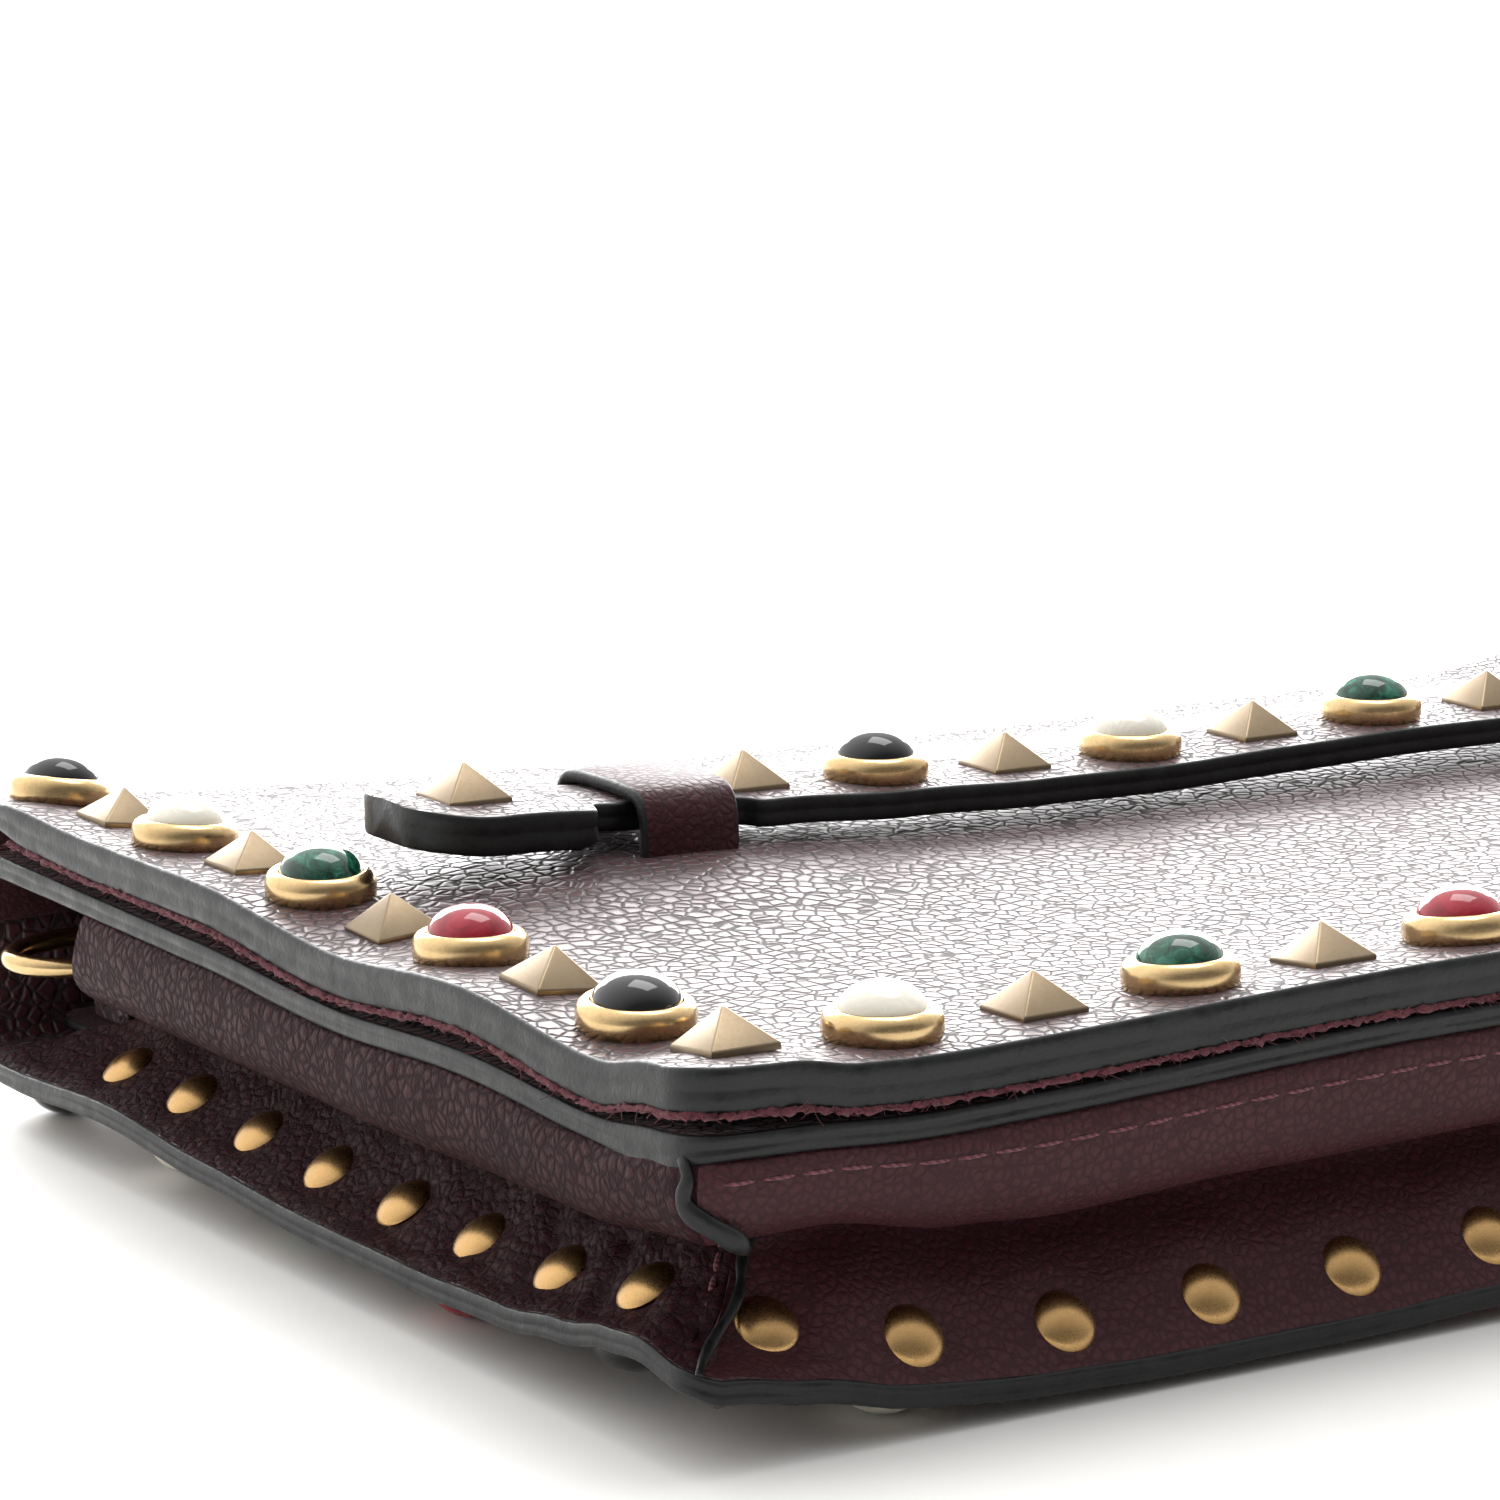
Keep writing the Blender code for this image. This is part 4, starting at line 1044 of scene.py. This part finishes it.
BEZEL_CUP = [(0, 1.1), (3.2, 1.1), (3.3, 1.3), (3.34, 1.95), (3.42, 2.12), (3.58, 2.2), (3.78, 2.16), (4.0, 2.03),
             (4.2, 1.83), (4.35, 1.54), (4.42, 1.15)]
BEZEL = BEZEL_CUP + [(4.42, 0.5), (4.36, 0.12), (4.25, -0.1), (0, -0.1)]
BACK_BEZEL = BEZEL_CUP + [(4.3, 0.85), (3.9, 0.45), (3.2, -0.1), (0, -0.1)]
STONE_R, STONE_LOW, STONE_TOP = 3.34, 1.6, 4.1


def dome():
    profile = [(0, STONE_TOP)]
    rise = STONE_TOP - STONE_LOW
    for i in range(1, 15):
        a = math.pi / 2 * i / 14
        profile.append((STONE_R * math.sin(a) ** 0.95, STONE_LOW + rise * math.cos(a) ** 0.92))
    return turned(profile + [(STONE_R * 0.97, 1.2), (0, 1.2)], 48)


def back_stud_z(x, y):
    """The studs of the back are pressed a little way into the leather, and none goes below the floor."""
    pressed = 1.4 * np.exp(-(((np.abs(x) - 91) / 4) ** 2) - ((y + 43) / 8) ** 2)
    return np.maximum(BACK_LOW + back_lift(x, y), STONE_TOP + 0.05) + pressed


def stone_colour(side, index):
    order = ["white", "green", "ruby", "black"]
    step = (index - 1) // 2
    return order[{"bottom": step, "left": -1 - step, "right": step + LAST_ALONG // 2}[side] % 4]


def border_spots():
    """Every stud of a border as (side, index, x, y)."""
    spots = [("bottom", i, STUD_X0 + i * PITCH_X, STUD_Y0) for i in range(LAST_ALONG + 1)]
    for side, x in (("left", STUD_X0), ("right", -STUD_X0)):
        spots += [(side, j, x, STUD_Y0 + j * PITCH_Y) for j in range(1, LAST_UP + 1)]
    return spots


def build_border(prefix, height, flip, body, nodes, stone_nodes):
    """Pyramids and stones in their bezels round one face of the wallet."""
    spike, setting, cabochon = pyramid(), turned(BACK_BEZEL if flip else BEZEL, 56), dome()
    spots = border_spots()
    for side in ("bottom", "left", "right"):
        here = [(i, stand(height, x, y, flip)) for s, i, x, y in spots if s == side]
        spikes = [(*spike, place) for i, place in here if i % 2 == 0]
        settings = [(*setting, place) for i, place in here if i % 2]
        dress(gather(f"{prefix}_pyramids_{side}", spikes, [PALE_GOLD], crisp=40), body, "stud_metal", nodes[side])
        dress(gather(f"{prefix}_bezels_{side}", settings, [RIM_GOLD], crisp=50), body, "stud_metal")
    for colour, look in STONES.items():
        own = [(s, i, x, y) for s, i, x, y in spots if i % 2 and stone_colour(s, i) == colour]
        parts = [(*cabochon, stand(height, x, y, flip)) for _, _, x, y in own]
        obj = gather(f"{prefix}_stones_{colour}", parts, [look], crisp=60)
        named = [f"stone_{s}_{i}_{colour}" for s, i, _, _ in own] if stone_nodes else []
        dress(obj, body, f"stone_{colour}", *named)


# ---------------------------------------------------------------- hand strap

strap_top = level((-86, 35.0), (-78, 34.3), (-61, 33.3), (-52, 32.6), (-39, 31.9), (-26, 31.4), (-13, 31.2), (0, 31.5),
                  (13, 31.7), (26, 31.6), (39, 31.7), (52, 32.3), (61, 33.0), (78, 33.9), (86, 34.5))
STRAP_STONES, TAB_STUD_X = ("black", "white", "green", "ruby"), 78.0
strap_thick = level((-86, 3.2), (-72, 3.2), (-68.5, 2.3), (68.5, 2.3), (72, 3.2), (86, 3.2))


def strap_half(x):
    """Half the width of the strap: a wide tab at each end, a slim neck and the full strap between."""
    x = np.abs(x)
    half = 6.0 - 1.4 * smooth_step(53.6, 55.0, x) + 2.9 * smooth_step(68.6, 70.2, x)
    corner = 5.0
    into = np.clip(x - (85.0 - corner), 0, corner)
    return half - (corner - np.sqrt(np.maximum(corner**2 - into**2, 0)))


def build_strap():
    xs = np.concatenate([-85 + 5 * (1 - np.cos(np.linspace(0, math.pi / 2, 12))), np.arange(-79, -53, 0.4),
                         np.arange(-52.8, 53, 1.3), np.arange(53.2, 79.2, 0.4),
                         85 - 5 * (1 - np.cos(np.linspace(math.pi / 2, 0, 12)))])
    xs = np.unique(np.round(xs, 4))
    edge = [(0.30, 0.0), (0.14, 0.02), (0.04, 0.09), (0.0, 0.22), (0.0, 0.38), (0.07, 0.47), (0.07, 0.53), (0.0, 0.62),
            (0.0, 0.80), (0.05, 0.92), (0.2, 1.0)]
    rows = []
    across = np.linspace(-1, 1, 11)
    for x in xs:
        half, top, thick = float(strap_half(x)), float(strap_top(x)), float(strap_thick(x))
        crown = 0.12 * (1 - across**2)
        ring = [(x, STRAP_Y + (half - 0.45) * a, top + c) for a, c in zip(across, crown)]
        right = [(x, STRAP_Y + half - d, top - s * thick) for d, s in edge]
        under = [(x, STRAP_Y - (half - 0.5) * a, top - thick) for a in across]
        left = [(x, STRAP_Y - half + d, top - s * thick) for d, s in reversed(edge)]
        rows.append(ring + right + under + left)
    under_start = len(across) + len(edge)

    def kind(j):
        if j < len(across) - 1:
            return 0
        return 2 if under_start <= j < under_start + len(across) - 1 else 1

    strap = loft("hand_strap_leather", rows, kind, [GRAIN, PAINT, LINING])
    dress(strap, "hand_strap", "grained_leather", "strap_top", "strap_lining")
    spots = [(-TAB_STUD_X, None)]
    for k, x in enumerate(np.arange(-4 * PITCH_X, 4.1 * PITCH_X, PITCH_X)):
        spots.append((x, STRAP_STONES[k // 2] if k % 2 else None))
    spots.append((TAB_STUD_X, None))

    def height(x, y):
        return strap_top(np.array(x)) + 0.05

    spike, setting, cabochon = pyramid(), turned(BEZEL, 56), dome()
    places = [(colour, stand(height, float(x), STRAP_Y)) for x, colour in spots]
    spikes = [(*spike, place) for colour, place in places if not colour]
    settings = [(*setting, place) for colour, place in places if colour]
    dress(gather("strap_pyramids", spikes, [PALE_GOLD], crisp=40), "hand_strap", "stud_metal", "strap_studs")
    dress(gather("strap_bezels", settings, [RIM_GOLD], crisp=50), "hand_strap", "stud_metal")
    for colour, place in places:
        if colour:
            name = f"strap_stone_{colour}"
            dress(gather(name + "_polished", [(*cabochon, place)], [STONES[colour]], crisp=60), "hand_strap",
                  f"stone_{colour}", name)


KEEPER_THICK, KEEPER_SHIFT = 1.15, 0.7


def build_keepers():
    """The leather loops that hold the strap's necks down."""
    outer = flowing([(-7.3, 28.4), (-7.35, 30.4), (-7.2, 32.4), (-6.4, 34.0), (-4.6, 34.7), (0, 34.85), (4.6, 34.7),
                     (6.4, 34.0), (7.2, 32.4), (7.35, 30.4), (7.3, 28.4)], 4)
    tangent = np.gradient(outer, axis=0)
    inward = np.stack([tangent[:, 1], -tangent[:, 0]], axis=1)
    inward /= np.linalg.norm(inward, axis=1, keepdims=True)
    inner = outer + inward * KEEPER_THICK
    edge = [(0.0, 0.35), (0.12, 0.12), (0.35, 0.0), (0.65, 0.0), (0.88, 0.12), (1.0, 0.35)]
    for side, sign in (("left", -1), ("right", 1)):
        low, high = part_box(f"keeper_{side}")
        x0, x1 = low.x / MM + sign * KEEPER_SHIFT, high.x / MM + sign * KEEPER_SHIFT
        rows = []
        for o, n in zip(outer, inner):
            ring = [(x0 + d, *(o * (1 - s) + n * s)) for s, d in edge]
            ring += [(x1 - d, *(o * (1 - s) + n * s)) for s, d in reversed(edge)]
            rows.append(ring)
        kinds = {2 * len(edge) - 1: 0, len(edge) - 1: 2}
        obj = loft(f"strap_keeper_{side}", np.array(rows) + (0, STRAP_Y, 0), lambda j: kinds.get(j, 1),
                   [SOFT_GRAIN, PAINT, LINING], crisp=50)
        dress(obj, "flap", "grained_leather", f"keeper_{side}")


# ---------------------------------------------------------------- rings


RING_PLUMP = 1.1  # the ring's wire over that of the CAD ring


def build_rings():
    """A smooth D-ring and its leather loop at the top of each side."""
    for side, sign in (("left", -1), ("right", 1)):
        low, high = (np.array(corner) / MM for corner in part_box(f"ring_{side}"))
        wire = (high[2] - low[2]) / 2 * RING_PLUMP
        z, y = (low[2] + high[2]) / 2, (low[1] + high[1]) / 2
        half = (high[1] - low[1]) / 2 - wire
        bar, tip = (high[0] - wire, low[0] + wire) if sign < 0 else (low[0] + wire, high[0] - wire)
        reach = tip - bar
        path = [(bar, y + half * t, z) for t in np.linspace(-0.86, 0.86, 9)]
        path += [(bar + reach * 0.04, y + half * 0.97, z)]
        path += [(bar + reach * math.sin(a), y + half * math.cos(a), z) for a in np.linspace(0.16, math.pi - 0.16, 26)]
        path += [(bar + reach * 0.04, y - half * 0.97, z)]
        path = np.array(path)
        around = flowing(np.vstack([path, path[:1]]), 3)[:-1]
        tangent = np.roll(around, -1, axis=0) - np.roll(around, 1, axis=0)
        tangent /= np.linalg.norm(tangent, axis=1, keepdims=True)
        rise = np.array((0, 0, 1.0))
        out = np.cross(tangent, rise)
        count = 14
        turn = np.arange(count) * 2 * math.pi / count
        ring = around[:, None] + wire * (
            out[:, None] * np.cos(turn)[None, :, None] + rise[None, None] * np.sin(turn)[None, :, None]
        )
        last = (len(around) - 1) * count
        faces = quads(len(around), count, wrap=True)
        faces += [(last + j, j, (j + 1) % count, last + (j + 1) % count) for j in range(count)]
        obj = outward(make(f"chain_ring_{side}", ring, faces, [RIM_GOLD]))
        dress(obj, f"ring_{side}", "hardware_metal", f"ring_{side}")
        build_ring_tab(side, sign, bar, y, z)


def build_ring_tab(side, sign, bar, y, z):
    """A strip of leather that wraps the ring's bar and runs down to the back."""
    low, high = (np.array(corner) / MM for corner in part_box(f"ring_loop_{side}"))
    middle, thick = 1.75, 0.9
    turns = [(middle * math.cos(a), middle * math.sin(a)) for a in np.radians(np.linspace(-62, 255, 22))]
    foot = low[2] - z
    line = flowing([(0.25, foot + 0.1), (0.5, -4.0)] + turns + [(-0.6, -4.0), (-0.65, foot + 0.1)], 3)
    tangent = np.gradient(line, axis=0)
    out = np.stack([tangent[:, 1], -tangent[:, 0]], axis=1)
    out /= np.linalg.norm(out, axis=1, keepdims=True)
    half = (high[1] - low[1]) / 2
    edge = [(-0.5, 0.3), (-0.38, 0.1), (0, 0.0), (0.38, 0.1), (0.5, 0.3)]
    rows = []
    for p, n in zip(line, out):
        ring = [(p + n * thick * s, -half + d) for s, d in edge]
        ring += [(p + n * thick * s, half - d) for s, d in edge[::-1]]
        rows.append([(bar + sign * q[0], y + w, z + q[1]) for q, w in ring])
    obj = loft(f"ring_tab_{side}", rows, lambda j: 0 if j in (4, 9) else 1, [GRAIN, PAINT], crisp=50)
    dress(obj, "shell", "grained_leather", f"ring_loop_{side}")


# ---------------------------------------------------------------- stage


CAMERA_PLACE, CAMERA_TURN, LENS = (-0.2860, -0.3729, 0.1212), (0.555, 0.190, -0.004), 133.0
# The studio brightens towards this direction, between the two strengths
BRIGHT_SIDE, WORLD_LOW, WORLD_HIGH = (0.05, 0.88, 0.47), 0.25, 2.0
FLOOR_HALF = 7.0


def add_camera():
    azimuth, down, roll = CAMERA_TURN
    forward = Vector((math.sin(azimuth) * math.cos(down), math.cos(azimuth) * math.cos(down), -math.sin(down)))
    level_right = forward.cross(Vector((0, 0, 1))).normalized()
    level_up = level_right.cross(forward)
    right = math.cos(roll) * level_right + math.sin(roll) * level_up
    up = math.cos(roll) * level_up - math.sin(roll) * level_right
    data = bpy.data.cameras.new("camera")
    data.lens, data.sensor_width = LENS, 36.0
    data.clip_start, data.clip_end = 0.02, 20
    camera = bpy.data.objects.new("camera", data)
    bpy.context.scene.collection.objects.link(camera)
    turn = Matrix((right, up, -forward)).transposed().to_4x4()
    camera.matrix_world = Matrix.Translation(CAMERA_PLACE) @ turn
    bpy.context.scene.camera = camera


def add_panel(name, place, aim, size, power):
    data = bpy.data.lights.new(name, "AREA")
    data.shape, data.size, data.size_y, data.energy = "RECTANGLE", size[0], size[1], power
    lamp = bpy.data.objects.new(name, data)
    lamp.location = place
    lamp.rotation_euler = (Vector(aim) - Vector(place)).to_track_quat("-Z", "Y").to_euler()
    bpy.context.scene.collection.objects.link(lamp)


def add_stage():
    scene = bpy.context.scene
    scene.view_settings.view_transform = "Standard"
    world = bpy.data.worlds.new("studio")
    scene.world = world
    world.use_nodes = True
    tree = world.node_tree
    background = tree.nodes["Background"]
    place = tree.nodes.new("ShaderNodeTexCoord").outputs["Generated"]
    towards = tree.nodes.new("ShaderNodeVectorMath")
    towards.operation = "DOT_PRODUCT"
    towards.inputs[1].default_value = BRIGHT_SIDE
    tree.links.new(place, towards.inputs[0])
    spread = tree.nodes.new("ShaderNodeMapRange")
    for name, value in (("From Min", -0.5), ("From Max", 0.8), ("To Min", WORLD_LOW), ("To Max", WORLD_HIGH)):
        spread.inputs[name].default_value = value
    tree.links.new(towards.outputs["Value"], spread.inputs["Value"])
    tree.links.new(spread.outputs[0], background.inputs["Strength"])
    background.inputs["Color"].default_value = (1.0, 0.995, 0.985, 1)
    add_panel("back_softbox", (0.45, 0.80, 0.36), (0, 0, 0.03), (1.4, 0.6), 30.0)
    add_panel("top_softbox", (0.15, 0.10, 0.80), (0, 0, 0.02), (0.5, 0.4), 3.0)
    size = FLOOR_HALF
    floor = bpy.data.meshes.new("floor")
    floor.from_pydata([(-size, -size, 0), (size, -size, 0), (size, size, 0), (-size, size, 0)], [], [(0, 1, 2, 3)])
    obj = bpy.data.objects.new("floor", floor)
    scene.collection.objects.link(obj)
    look = Look("pale_floor", (0.86, 0.855, 0.84), 0.7)
    speck = look.noise(8.0, 3.0)
    look.put(look.shader.inputs["Base Color"],
             look.ramp(speck, (0.3, (0.86, 0.855, 0.84)), (0.7, (0.88, 0.875, 0.86))))
    floor.materials.append(look.material)


add_camera()
add_stage()
build_sheets()
build_raw_edge()
build_inside()
build_gusset()
build_corner_seams()
build_border("flap", flap_z, False, "flap", {s: f"flap_studs_{s}" for s in ("bottom", "left", "right")}, True)
build_border("back", back_stud_z, True, "shell",
             {s: f"back_studs_{s}" for s in ("bottom", "left", "right")}, False)
build_strap()
build_keepers()
build_rings()
